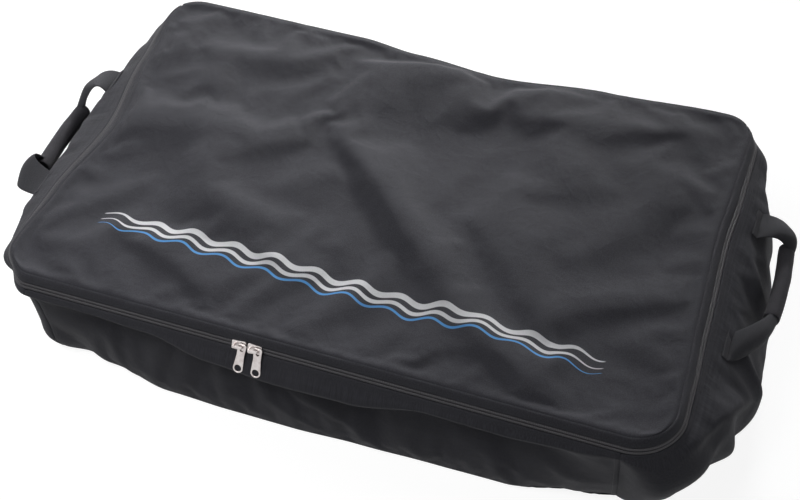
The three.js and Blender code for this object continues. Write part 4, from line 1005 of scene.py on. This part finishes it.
def wall_panel(name, first, last):
    """The part of the settled ring between two places, with its edges turned in."""
    chosen = [j for j, p in enumerate(places) if first - SAME_PLACE <= p <= last + SAME_PLACE]
    closing = last == STRETCHES
    start, end = chosen[0], 0 if closing else chosen[-1]
    inner = chosen[1:] if closing else chosen[1:-1]
    panel_columns = seam_columns(start, 1) + [ring_column(j) for j in inner] + seam_columns(end, -1)[::-1]
    panel_runs = [runs[start] - back for back in TURN_BEFORE] + [runs[j] for j in inner]
    panel_runs += [panel_runs[-1] + step for step in TURN_AFTER]
    part = np.array(panel_columns).transpose(1, 0, 2).reshape(-1, 3)
    uv = [(run, depth[i]) for i in range(rows) for run in panel_runs]
    obj = mesh_piece(name + "_cloth", part, grid_faces(rows, len(panel_columns)), uv)
    thicken(obj, BAG_CLOTH, face=INNER_PAINT, back=CLOTH_PAINT)
    refine(obj)
    dress(obj, "bag_body", CLOTH_PAINT, [name])


for name, first, last, cut in (
    ("front_wall", 0, 1, SIDE_WALL_CUT),
    ("right_end_wall", 1, 4, END_WALL_CUT),
    ("back_wall", 4, 5, SIDE_WALL_CUT),
    ("left_end_wall", 5, 8, END_WALL_CUT),
):
    wall_panel(name, first, last)


# Base cloth, which lies on the floor and buckles a little.
BASE_COLUMNS, BASE_ROWS = 92, 60
BASE_IN, BASE_UP = 0.4, 1.5
BASE_WAVES = ((0.5, 90, 2.2), (0.25, 30, 6.1))
BASE_LOWEST, BASE_HIGHEST = -0.6, 0.5


def base_sheet():
    """The base's cloth, drawn in a little from the wall's foot."""
    edge = lambda place: stand(place, (wall_at(place)["floor"] - BASE_IN, BASE_UP))
    spots, flat, _, _ = filled_grid(edge, BASE_COLUMNS, BASE_ROWS)
    x, y = spots[:, :, 0], spots[:, :, 1]
    uneven = sum(high * ripples(x, y, size, seed) for high, size, seed in BASE_WAVES)
    spots[:, :, 2] += np.clip(uneven, BASE_LOWEST, BASE_HIGHEST)
    faces = grid_faces(BASE_ROWS + 1, BASE_COLUMNS + 1)
    obj = mesh_piece("base_cloth", spots.reshape(-1, 3), faces, flat.reshape(-1, 2))
    thicken(obj, BASE_CLOTH, 0.0)
    dress(obj, "bag_body", CLOTH_PAINT, ["base_panel"])


base_sheet()

# The folded tape over each seam inside.
FOLDED_TAPE = [
    (-0.5, 4.5), (-0.62, 1.5), (-0.62, -1.5), (-0.45, -3.8), (0, -4.4), (0.45, -3.8), (0.62, -1.5),
    (0.62, 1.5), (0.5, 4.5),
]
# Unevenness of the tape: height, size, step from row to row and seed of the noise.
TAPE_WAVES = ((0.18, 9, 0.4, 3.0), (0.2, 40, 0.0, 8.0))
BASE_SEAM_IN, BASE_SEAM_UP = 2.65, 7.0
LID_SEAM_IN, LID_SEAM_UP = 4.65, 173.5
CORNER_SEAM_IN, CORNER_SEAM_SQUASH, CORNER_SEAM_POINTS = 5.0, 0.66, 48
CORNER_SEAM_SHARES = (0.1, 0.9)


def binding(name, middles, across, up, node, body, closed, squash=1.0):
    """Tape folded over an edge. middles holds the line of its middle, with the ways across and up there."""
    reach, tape_runs = section_lengths(FOLDED_TAPE, squash), lengths_along(middles)
    made, flat = [], []
    for k, (out, high) in enumerate(FOLDED_TAPE):
        wave = [sum(tall * ripple(run / size, k * step, seed) for tall, size, step, seed in TAPE_WAVES)
                for run in tape_runs]
        made.append(middles + across * (out + np.array(wave))[:, None] + up * (high * squash))
        flat += [(run, reach[k]) for run in tape_runs]
    obj = mesh_piece(name, np.concatenate(made), grid_faces(len(FOLDED_TAPE), len(tape_runs), closed), flat)
    thicken(obj, BINDING_CLOTH, 0.0)
    dress(obj, body, TAPE_PAINT, [node])


def ring_binding(name, out_of, middle_up, turned, node, body):
    """Tape all round the bag. turned says whether the tape's fold points up or down."""
    ring_places = places_between(0, STRETCHES, CLOTH_STEP)[0][:-1]
    ways = np.array([[*outline_at(p)[2], 0] for p in ring_places])
    middles = np.array([stand(p, (out_of(wall_at(p)), middle_up)) for p in ring_places])
    up = np.tile([0, 0, turned], (len(ring_places), 1))
    binding(name, middles, ways, up, node, body, True)


def corner_binding(name, place, node):
    """Tape down the inside of a corner's seam."""
    curve = WallCurve(place)
    way = outline_at(place)[2]
    outward, run = np.array([*way, 0]), np.array([-way[1], way[0], 0])
    middles, ups = [], []
    for share in np.linspace(*CORNER_SEAM_SHARES, CORNER_SEAM_POINTS):
        face = curve.face(share)
        middles.append(stand(place, curve.point(share) - face * CORNER_SEAM_IN))
        ups.append(outward * -face[0] + np.array([0, 0, -face[1]]))
    across = np.tile(run, (len(middles), 1))
    binding(name, np.array(middles), across, -np.array(ups), node, "bag_body", False, CORNER_SEAM_SQUASH)


ring_binding("base_seam_tape", lambda wall: wall["floor"] - BASE_SEAM_IN, BASE_SEAM_UP, -1.0,
             "base_seam_binding", "bag_body")
ring_binding("lid_seam_tape", lambda wall: -wall["draw"] - LID_SEAM_IN, LID_SEAM_UP, 1.0,
             "lid_seam_binding", "lid")
set_back = CORNER_SEAM_IN / (2 * STRAIGHT_X)
for corner, place in (
    ("front_left", set_back),
    ("front_right", 1 - set_back),
    ("back_right", 4 + set_back),
    ("back_left", 5 - set_back),
):
    corner_binding(corner + "_seam_tape", place, corner + "_seam_binding")


# Hinge cloth at the back, sewn between the body and the lid. Heights in metres.
HINGE_SET_BACK = 0.05


def hinge_cloth():
    """The strip sewn to the body and the lid along the back."""
    first, last = ZIP_RIGHT + HINGE_SET_BACK, ZIP_LEFT + STRETCHES - HINGE_SET_BACK
    hinge_places, hinge_runs = places_between(first, last, STRIP_STEP)
    obj, width = strip("back_hinge_cloth", HINGE_SECTION, hinge_places, hinge_runs, HINGE_WOBBLE,
                       HINGE_WAVES, HINGE_LEAN)
    thicken(obj, STRIP_CLOTH)
    obj.data.materials.append(CLOTH_PAINT)
    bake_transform(obj)
    dress(obj, None, CLOTH_PAINT, ["back_hinge_strip"])


hinge_cloth()

# Handles: webbing sewn to the shoulder at both ends and curled narrow inside a padded sleeve.
# Each leg's near edge and far edge leave the wall and reach the grip by these steps out, up and along.
HANDLES = {
    "right": {"side": 1, "roots": (116, -86), "reach": 38, "drop": 22, "slip": 46, "legs": (
        {"near": ((20, 16), (-2, 12), 6), "far": ((46, 8), (14, -2), 24)},
        {"near": ((12, 12), (-4, 10), 22), "far": ((14, -2), (2, -8), 40)})},
    "left": {"side": -1, "roots": (104, -104), "reach": 28, "drop": 26, "slip": 2, "legs": (
        {"near": ((14, 26), (-9, 24), 16), "far": ((44, 8), (15, 4), 34)},
        {"near": ((34, 23), (8, 26), 4), "far": ((50, 4), (26, -6), 26)})},
}
STRAP = 45.0
GRIP = 120.0
GRIP_BOW = 3
# The webbing where it is sewn down: how far back from the shoulder its rows lie, and how proud.
SEWN_BACKS = (10, 8.5, 6.5, 4.5, 2.5, 0.5)
SEWN_PROUD, HINGE_PROUD = 1.7, 3.7
# The webbing where it enters the grip: how far in, how far it sits inwards, half its height there.
INTO_GRIP, SET_INWARDS, HALF_FOLDED = 8, 3, 7.5
STRAP_POINTS, LEG_ROWS = 21, 46
CURLED_IN, CURL_START, LEAST_CURL, LEG_NEAR = 14, 0.5, 1.0005, 0.01
TAIL_RUNS = (5, 10, 15, 20)


def place_on_end(side, y):
    """The place on the right end, or with side below zero the left one, at a distance y back."""
    along = (y + STRAIGHT_Y) / (2 * STRAIGHT_Y)
    return 2 + along if side > 0 else 7 - along


def handle_hinge(handle):
    """Where the handle swings: just proud of the outermost shoulder that it is sewn to."""
    curves = [WallCurve(place_on_end(handle["side"], y)) for y in handle["roots"]]
    lines = [curve.point(SHOULDER_SHARE) + curve.face(SHOULDER_SHARE) * HINGE_PROUD for curve in curves]
    line = max(lines, key=lambda p: p[0])
    return LENGTH / 2 + line[0], line[1]


def grip_spot(handle, y):
    """A point of the line through the middle of the grip."""
    x, z = handle["hinge"]
    bow = GRIP_BOW * (1 - ((y - handle["slip"]) / (GRIP / 2)) ** 2)
    return np.array([handle["side"] * (x + handle["reach"] + bow), y, z - handle["drop"]])


def strap_section(chord, width):
    """Half angle and radius of the arc that webbing of this width makes over the chord between its edges."""
    low, high = 0.01, 3.0
    for _ in range(30):
        half = (low + high) / 2
        low, high = (half, high) if math.sin(half) / half > chord / width else (low, half)
    return half, width / (2 * half)


def on_tab(side, y, back, proud):
    """A spot of the webbing where it lies sewn on the wall, so far back from the shoulder."""
    place = place_on_end(side, y)
    curve = WallCurve(place)
    to_shoulder = np.linalg.norm(curve.point(SHOULDER_SHARE) - curve.point(0))
    share = SHOULDER_SHARE * (1 - back / to_shoulder)
    return stand(place, curve.point(share) + curve.face(share) * proud)


def bezier(points, s):
    """A point of the curve that four points steer."""
    a, b, c, d = points
    return (1 - s) ** 3 * a + 3 * s * (1 - s) ** 2 * b + 3 * s * s * (1 - s) * c + s**3 * d


def leg_edge(side, towards, start, steps, end):
    """Control points of one edge of a leg: how it leaves the wall, and how it comes to the grip."""
    (leave_out, leave_up), (come_out, come_up), come_along = steps
    leaving = start + np.array([side * leave_out, 0, leave_up])
    coming = end + [0, towards * come_along, 0] + np.array([side * come_out, 0, come_up])
    return [start, leaving, coming, end]


def leg_row(near_line, far_line, s, wides, turned):
    """Points across the webbing, a share s of the way along its leg."""
    a, b = bezier(near_line, s), bezier(far_line, s)
    later, sooner = min(s + LEG_NEAR, 1), s - LEG_NEAR
    ahead = bezier(near_line, later) + bezier(far_line, later)
    along = ahead - bezier(near_line, sooner) - bezier(far_line, sooner)
    chord = np.linalg.norm(b - a)
    wide = (b - a) / chord
    face = np.cross(wide, along) * turned
    face *= -1 / np.linalg.norm(face)
    width = max(STRAP - CURLED_IN * smooth((s - CURL_START) / (1 - CURL_START)), chord * LEAST_CURL)
    half, radius = strap_section(chord, width)
    sides = [wide * radius * math.sin(u * half) for u in wides]
    rises = [face * radius * (math.cos(u * half) - math.cos(half)) for u in wides]
    return [(a + b) / 2 + across + up for across, up in zip(sides, rises)]


def strap_leg(side_name, handle, towards):
    """Webbing from its sewn end, where it lies flat on the wall, to the grip, where it stands curled."""
    side = handle["side"]
    number, which = (0, "back") if towards > 0 else (1, "front")
    root_y, shape = handle["roots"][number], handle["legs"][number]
    wides = np.linspace(-1, 1, STRAP_POINTS)
    made = [[on_tab(side, root_y + towards * u * STRAP / 2, back, SEWN_PROUD) for u in wides]
            for back in SEWN_BACKS]
    end = grip_spot(handle, handle["slip"] + towards * (GRIP / 2 - INTO_GRIP))
    near_end, far_end = (end + [-side * SET_INWARDS, 0, up] for up in (HALF_FOLDED, -HALF_FOLDED))
    near_line = leg_edge(side, towards, np.array(made[-1][0]), shape["near"], near_end)
    far_line = leg_edge(side, towards, np.array(made[-1][-1]), shape["far"], far_end)
    for s in np.linspace(0.0, 1.0, LEG_ROWS)[1:]:
        made.append(leg_row(near_line, far_line, s, wides, towards * side))
    tail = np.array(made[-1])
    for run in TAIL_RUNS:
        bowed = (grip_spot(handle, end[1] - towards * run) - end) * [1, 0, 0]
        made.append(tail + [0, -towards * run, 0] + bowed)
    made = np.array([np.array(row) for row in made])
    strap_runs = lengths_along(made[:, len(wides) // 2])
    flat = [(u * STRAP / 2, run) for run in strap_runs for u in wides]
    faces = grid_faces(len(made), len(wides))
    obj = mesh_piece(f"{side_name}_strap_{which}", made.reshape(-1, 3), faces, flat)
    thicken(obj, WEBBING, 0.0)
    refine(obj)
    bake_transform(obj)
    nodes = [f"{side_name}_handle_tab_{which}", side_name + "_handle_webbing"]
    dress(obj, None, WEB_PAINT, nodes)


# The sleeve's turned-in end: distance from the end, half width and half height. Then its long middle.
SLEEVE_END = [(7, 8.2, 10.6), (1.6, 8.3, 10.7), (0.2, 8.9, 11.3), (0.1, 9.7, 11.9), (1.2, 10.2, 12.3)]
SLEEVE_FROM, SLEEVE_HALF_WIDE, SLEEVE_HALF_HIGH, SLEEVE_RINGS = 3.5, 10.5, 12.5, 50
SLEEVE_POINTS, SLEEVE_ROUND, SLEEVE_SQUARE, SLEEVE_FILL = 40, 72.0, 0.92, 0.8
# Its soft unevenness, and the groove along its seam: depth, half width in radians, and where it starts.
SLEEVE_SOFT, SLEEVE_SOFT_SIZE, SLEEVE_SOFT_TURN, SLEEVE_SOFT_SEED = 0.5, 20, 1.2, 4.0
GROOVE, GROOVE_HALF, GROOVE_FROM = 0.7, 0.12, 10


def grip_sleeve(side_name, handle):
    """A padded sleeve, soft at its ends, with its cloth turned in round the webbing."""
    ends = [(-GRIP / 2 + inside, wide, high) for inside, wide, high in SLEEVE_END]
    middle = np.linspace(-GRIP / 2 + SLEEVE_FROM, GRIP / 2 - SLEEVE_FROM, SLEEVE_RINGS)
    sections = ends + [(y, SLEEVE_HALF_WIDE, SLEEVE_HALF_HIGH) for y in middle]
    sections += [(-y, wide, high) for y, wide, high in reversed(ends)]
    groove_at = math.pi if handle["side"] > 0 else 0.0
    points, flat, run = [], [], 0.0
    for n, (y, wide, high) in enumerate(sections):
        centre = grip_spot(handle, handle["slip"] + y)
        run += math.hypot(y - sections[n - 1][0], wide - sections[n - 1][1]) if n else 0
        for k in range(SLEEVE_POINTS):
            angle = 2 * math.pi * k / SLEEVE_POINTS
            across, up = math.cos(angle), math.sin(angle)
            soft = 0
            if len(ends) <= n < len(sections) - len(ends):
                spot = (y / SLEEVE_SOFT_SIZE, across * SLEEVE_SOFT_TURN, SLEEVE_SOFT_SEED + up)
                soft = SLEEVE_SOFT * ripple(*spot)
            if wide > GROOVE_FROM:
                off = (angle - groove_at + math.pi) % (2 * math.pi) - math.pi
                soft -= GROOVE * math.exp(-((off / GROOVE_HALF) ** 2))
            cx = math.copysign(abs(across) ** SLEEVE_SQUARE, across) * (wide + soft)
            cz = math.copysign(abs(up) ** SLEEVE_SQUARE, up) * (high + soft)
            points.append(centre + [cx, 0, cz])
            flat.append((SLEEVE_ROUND * k / SLEEVE_POINTS, run))
    faces = grid_faces(len(sections), SLEEVE_POINTS, True)
    obj = mesh_piece(side_name + "_grip_sleeve", points, faces, flat)
    refine(obj)
    dress(obj, "handle_" + side_name, GRIP_PAINT, [side_name + "_handle_grip"])


for side_name, handle in HANDLES.items():
    handle["hinge"] = handle_hinge(handle)
    for towards in (1, -1):
        strap_leg(side_name, handle, towards)
    grip_sleeve(side_name, handle)


# Zip coil: one small bead to each turn, in two rows that mesh.
COIL_PITCH, COIL_WIDTH, COIL_UP, COIL_HIGH, COIL_LEAN = 2.1, 3.9, -0.5, 1.6, 0.9
LID_COIL_EDGE, BODY_COIL_EDGE = 12.0, 16.1
BEAD_SECTION = [(-1, -0.2), (-0.85, 0.45), (-0.45, 0.92), (0.45, 0.92), (0.85, 0.45), (1, -0.2)]
# Slices along a bead, in shares of the pitch, and how full each is.
BEAD_SLICES = ((-0.43, 0.72), (-0.2, 1.0), (0.2, 1.0), (0.43, 0.72))


COIL_DARK, COIL_LIGHT = (0.026, 0.024, 0.029, 1), (0.056, 0.052, 0.061, 1)


def plastic_paint():
    """Coil plastic, with a faint mottle."""
    material, p, shader = painted("zip coil")
    place = p.add("TexCoord").outputs["Object"]
    grain = p.noise(place, 900.0, 3.0, 0.6)
    colour = p.mix(p.range(grain, 0.35, 0.65), COIL_DARK, COIL_LIGHT)
    p.put(shader.inputs["Base Color"], colour)
    p.put(shader.inputs["Roughness"], p.math("MULTIPLY_ADD", grain, 0.2, 0.3))
    p.put(shader.inputs["Normal"], p.bump(p.noise(place, 2500.0), 0.00005))
    return material


COIL_PAINT = plastic_paint()


def coil_row(name, edge, offset, body, node):
    """Beads along one edge of the chain. offset is a share of the pitch."""
    coil_places, coil_runs = places_between(ZIP_LEFT, ZIP_RIGHT, COIL_STEP)
    lean = COIL_LEAN if edge < CHAIN else -COIL_LEAN
    corners = len(BEAD_SECTION)
    last_slice = corners * (len(BEAD_SLICES) - 1)
    spots, across, proud, faces = [], [], [], []
    for k in range(int(coil_runs[-1] / COIL_PITCH)):
        base = len(spots)
        for side, swell in BEAD_SLICES:
            for u, v in BEAD_SECTION:
                spots.append((k + 0.5 + offset + side) * COIL_PITCH + lean * u * 0.5)
                across.append(edge + COIL_WIDTH / 2 * (1 + u * (0.9 + 0.1 * swell)))
                proud.append(COIL_UP + v * COIL_HIGH * swell)
        for face in grid_faces(len(BEAD_SLICES), corners):
            faces.append(tuple(base + corner for corner in face))
        faces.append(tuple(base + c for c in range(corners)))
        faces.append(tuple(base + last_slice + c for c in reversed(range(corners))))
    along = np.interp(spots, coil_runs, coil_places)
    obj = mesh_piece(name, on_band(along, np.array(across), np.array(proud)), faces)
    dress(obj, body, COIL_PAINT, [node])


coil_row("lid_zip_coil", LID_COIL_EDGE, 0.0, "lid", "zip_coil_lid")
coil_row("body_zip_coil", BODY_COIL_EDGE, 0.5, "bag_body", "zip_coil_body")

# Metal of the zip. These pieces are rigid, and show as the solids that they are.
NICKEL, STAINED_NICKEL = (0.64, 0.6, 0.59, 1), (0.5, 0.44, 0.43, 1)
METAL_NODES = ("slider_left", "slider_right", "pull_left", "pull_right", "zip_stop_right", "zip_stop_left")


def metal_paint():
    """Satin nickel with fine tumbling marks and faint stains."""
    material, p, shader = painted("satin nickel")
    place = p.add("TexCoord").outputs["Object"]
    marks = p.noise(p.scale(place, 1400, 1400, 240), 1.0, 4.0, 0.7)
    stain = p.range(p.noise(place, 160.0, 4.0, 0.6), 0.4, 0.75)
    p.put(shader.inputs["Base Color"], p.mix(stain, NICKEL, STAINED_NICKEL))
    shader.inputs["Metallic"].default_value = 1.0
    p.put(shader.inputs["Roughness"], p.math("MULTIPLY_ADD", marks, 0.22, 0.2))
    p.put(shader.inputs["Normal"], p.bump(marks, 0.00006))
    return material


METAL_PAINT = metal_paint()
for node in METAL_NODES:
    obj = frame["nodes"][node]
    obj.data.materials.clear()
    obj.data.materials.append(METAL_PAINT)


# How far apart stitches are and how long, on seams, on the webbing and on the grips.
SEAM_STITCH, TAB_STITCH, GRIP_STITCH = (3.6, 2.6), (3.0, 2.3), (3.4, 2.5)
# Where the rows along the zip lie: across the band, and proud of it. Then how proud those of the corners are.
BORDER_THREAD, HEM_THREAD, CORNER_THREAD_PROUD = (8.4, 0.6), (23.4, 0.36), 1.3
# Sewing thread. A stitch is six-sided, and dips at both ends: share along, thickness and height.
STITCH_SIDES = 6
STITCH_SHAPE = [(-1, 0.3, -0.2), (-0.8, 0.85, 0.05), (0, 1.0, 0.3), (0.8, 0.85, 0.05), (1, 0.3, -0.2)]
THREAD_DARK, THREAD_LIGHT = (0.035, 0.035, 0.04, 1), (0.075, 0.075, 0.085, 1)
THREAD, THREAD_FLAT, STITCH_TURN, STITCH_NEAR = 0.26, 0.8, 0.12, 0.4


def thread_paint():
    """Twisted polyester thread."""
    material, p, shader = painted("sewing thread")
    place = p.add("TexCoord").outputs["Object"]
    fibre = p.noise(place, 2600.0, 2.0, 0.7)
    colour = p.mix(p.range(fibre, 0.3, 0.7), THREAD_DARK, THREAD_LIGHT)
    p.put(shader.inputs["Base Color"], colour)
    p.put(shader.inputs["Roughness"], p.math("MULTIPLY_ADD", fibre, 0.2, 0.4))
    p.put(shader.inputs["Normal"], p.bump(fibre, 0.00008))
    return material


THREAD_PAINT = thread_paint()


def at_run(table, at_runs, at):
    """The row of a table, between its own rows, that belongs to a run."""
    return np.array([np.interp(at, at_runs, column) for column in table.T])


def stitches(name, lines, lifts, body, stitch=SEAM_STITCH):
    """Rows of short threads, one to each hole, along lines of close points with a way up at each."""
    pitch, length = stitch
    points, faces, last_ring = [], [], STITCH_SIDES * (len(STITCH_SHAPE) - 1)
    sides = grid_faces(len(STITCH_SHAPE), STITCH_SIDES, True)
    for line, lift in zip(lines, lifts):
        line, lift = np.asarray(line, float), np.asarray(lift, float)
        line_runs = lengths_along(line)
        for k in range(int(line_runs[-1] / pitch)):
            at = (k + 0.5) * pitch
            spot, up = at_run(line, line_runs, at), at_run(lift, line_runs, at)
            ahead = at_run(line, line_runs, at + STITCH_NEAR) - at_run(line, line_runs, at - STITCH_NEAR)
            ahead /= np.linalg.norm(ahead)
            side = np.cross(up, ahead)
            side /= np.linalg.norm(side)
            rise = np.cross(ahead, side)
            turn = STITCH_TURN * ripple(at, k * 0.7, 3.0)
            base = len(points)
            for along, wide, high in STITCH_SHAPE:
                for i in range(STITCH_SIDES):
                    angle = 2 * math.pi * i / STITCH_SIDES
                    aside = math.cos(angle) * wide * THREAD + along * turn
                    above = (math.sin(angle) * wide * THREAD_FLAT + high) * THREAD
                    points.append(spot + ahead * along * length / 2 + side * aside + rise * above)
            faces += [tuple(base + corner for corner in face) for face in sides]
            faces.append(tuple(base + i for i in reversed(range(STITCH_SIDES))))
            faces.append(tuple(base + last_ring + i for i in range(STITCH_SIDES)))
    dress(mesh_piece(name, points, faces), body, THREAD_PAINT)


def band_stitches(name, across, proud, body):
    """Stitches all along the zip."""
    close_places = np.array(places_between(ZIP_LEFT, ZIP_RIGHT, THREAD_STEP)[0])
    line = on_band(close_places, across, proud)
    stitches(name, [line], [on_band(close_places, across, proud + 1) - line], body)


def corner_stitches():
    """Stitches beside each corner seam, on the front and back walls."""
    lines, lifts = [], []
    for place, beside in ((0, 1), (1, -1), (4, 1), (5, -1)):
        at = min(range(count), key=lambda j: abs(places[j] - place)) + beside
        line, lift = (part[len(HEM) + 2 : rows - 3] for part in column_lift(at))
        lines.append(line + lift * CORNER_THREAD_PROUD)
        lifts.append(lift)
    stitches("corner_seam_stitches", lines, lifts, "bag_body")


# Rows of stitches on the webbing's sewn ends, and the sleeve's seam: its way out and half sizes.
TAB_ROWS, TAB_THREAD_PROUD, TAB_STITCHED, TAB_POINTS, GRIP_POINTS = (8.8, 3.6), 2.65, 0.94, 12, 24
SEAM_TURN, SEAM_HALF_WIDE, SEAM_HALF_HIGH, SEAM_FROM = 0.34, 10.7, 12.6, 5


def handle_stitches(side_name, handle):
    """Stitches over the webbing's sewn ends, and down the inward seam of the grip's sleeve."""
    side = handle["side"]
    lines, lifts = [], []
    for root_y in handle["roots"]:
        across = [root_y + u * STRAP / 2 for u in np.linspace(-TAB_STITCHED, TAB_STITCHED, TAB_POINTS)]
        for back in TAB_ROWS:
            line = np.array([on_tab(side, y, back, TAB_THREAD_PROUD) for y in across])
            lines.append(line)
            lifts.append(np.array([on_tab(side, y, back, TAB_THREAD_PROUD + 1) for y in across]) - line)
    stitches(side_name + "_tab_stitches", lines, lifts, "bag_body", TAB_STITCH)
    run = np.linspace(-GRIP / 2 + SEAM_FROM, GRIP / 2 - SEAM_FROM, GRIP_POINTS)
    inward = np.array([-side * math.cos(SEAM_TURN), 0, math.sin(SEAM_TURN)])
    out = inward * [SEAM_HALF_WIDE, 0, SEAM_HALF_HIGH]
    seam = np.array([grip_spot(handle, handle["slip"] + y) + out for y in run])
    lift = np.tile(inward, (len(run), 1))
    stitches(side_name + "_grip_stitches", [seam], [lift], "handle_" + side_name, GRIP_STITCH)


band_stitches("border_stitches", *BORDER_THREAD, "lid")
band_stitches("wall_hem_stitches", *HEM_THREAD, "bag_body")
corner_stitches()
for side_name, handle in HANDLES.items():
    handle_stitches(side_name, handle)


# Stage, light and background.
FLOOR_HALF = 40000
FLOOR_COLOUR, FLOOR_GLOW = (0.3, 0.3, 0.3, 1), 0.9
SKY_COLOUR, SKY_STRENGTH = (0.95, 0.97, 1.0, 1), 0.05
# Where each lamp stands and aims in metres, its size, its power and its spread in degrees.
SOFTBOXES = {
    "key softbox": ((-0.3, 4.0, 1.5), (-0.45, 0.1, 0.1), (1.2, 0.8), 10.5, 38),
    "left softbox": ((-2.1, 0.2, 1.7), (-0.2, 0, 0.1), (1.0, 1.0), 10, 180),
    "front top softbox": ((-0.8, -1.1, 2.4), (-0.4, -0.2, 0.1), (1.1, 0.8), 2.6, 56),
}


def seen_directly(p):
    """1 for rays that come from the camera, or from it by way of a gloss or glass, and 0 for others."""
    path = p.add("LightPath")
    mirrored = p.math("ADD", path.outputs["Is Camera Ray"], path.outputs["Is Glossy Ray"])
    return p.math("ADD", mirrored, path.outputs["Is Transmission Ray"], clamp=True)


def pale_floor():
    """A floor that takes shadows, and looks white itself."""
    half = FLOOR_HALF
    corners = [(-half, -half, 0), (half, -half, 0), (half, half, 0), (-half, half, 0)]
    floor = mesh_piece("floor", corners, [(0, 1, 2, 3)])
    material, p, shader = painted("pale floor")
    shader.inputs["Base Color"].default_value = FLOOR_COLOUR
    shader.inputs["Roughness"].default_value = 0.95
    shader.inputs["Specular IOR Level"].default_value = 0.0
    glow = p.add("Emission")
    p.put(glow.inputs["Strength"], p.math("MULTIPLY", seen_directly(p), FLOOR_GLOW))
    both = p.add("AddShader")
    p.put(both.inputs[0], shader.outputs[0])
    p.put(both.inputs[1], glow.outputs[0])
    p.put(p.nodes["Material Output"].inputs["Surface"], both.outputs[0])
    floor.data.materials.append(material)


def studio_sky():
    """White where it is seen, and a faint even light on everything."""
    sky = bpy.data.worlds.new("studio")
    scene.world = sky
    sky.use_nodes = True
    p = Paper(sky.node_tree)
    light, white = p.nodes["Background"], p.add("Background")
    light.inputs["Color"].default_value = SKY_COLOUR
    light.inputs["Strength"].default_value = SKY_STRENGTH
    white.inputs["Color"].default_value = (1, 1, 1, 1)
    mixed = p.add("MixShader")
    p.put(mixed.inputs[0], seen_directly(p))
    p.put(mixed.inputs[1], light.outputs[0])
    p.put(mixed.inputs[2], white.outputs[0])
    p.put(p.nodes["World Output"].inputs["Surface"], mixed.outputs[0])


def softbox(name, spot, aim, size, power, spread):
    """A rectangular lamp that faces what it is aimed at."""
    data = bpy.data.lights.new(name, "AREA")
    data.spread = math.radians(spread)
    data.shape, data.size, data.size_y, data.energy = "RECTANGLE", size[0], size[1], power
    lamp = bpy.data.objects.new(name, data)
    scene.collection.objects.link(lamp)
    lamp.location = spot
    lamp.rotation_euler = (Vector(aim) - Vector(spot)).to_track_quat("-Z", "Y").to_euler()


pale_floor()
studio_sky()
for name, values in SOFTBOXES.items():
    softbox(name, *values)


scene.view_settings.view_transform = "Standard"
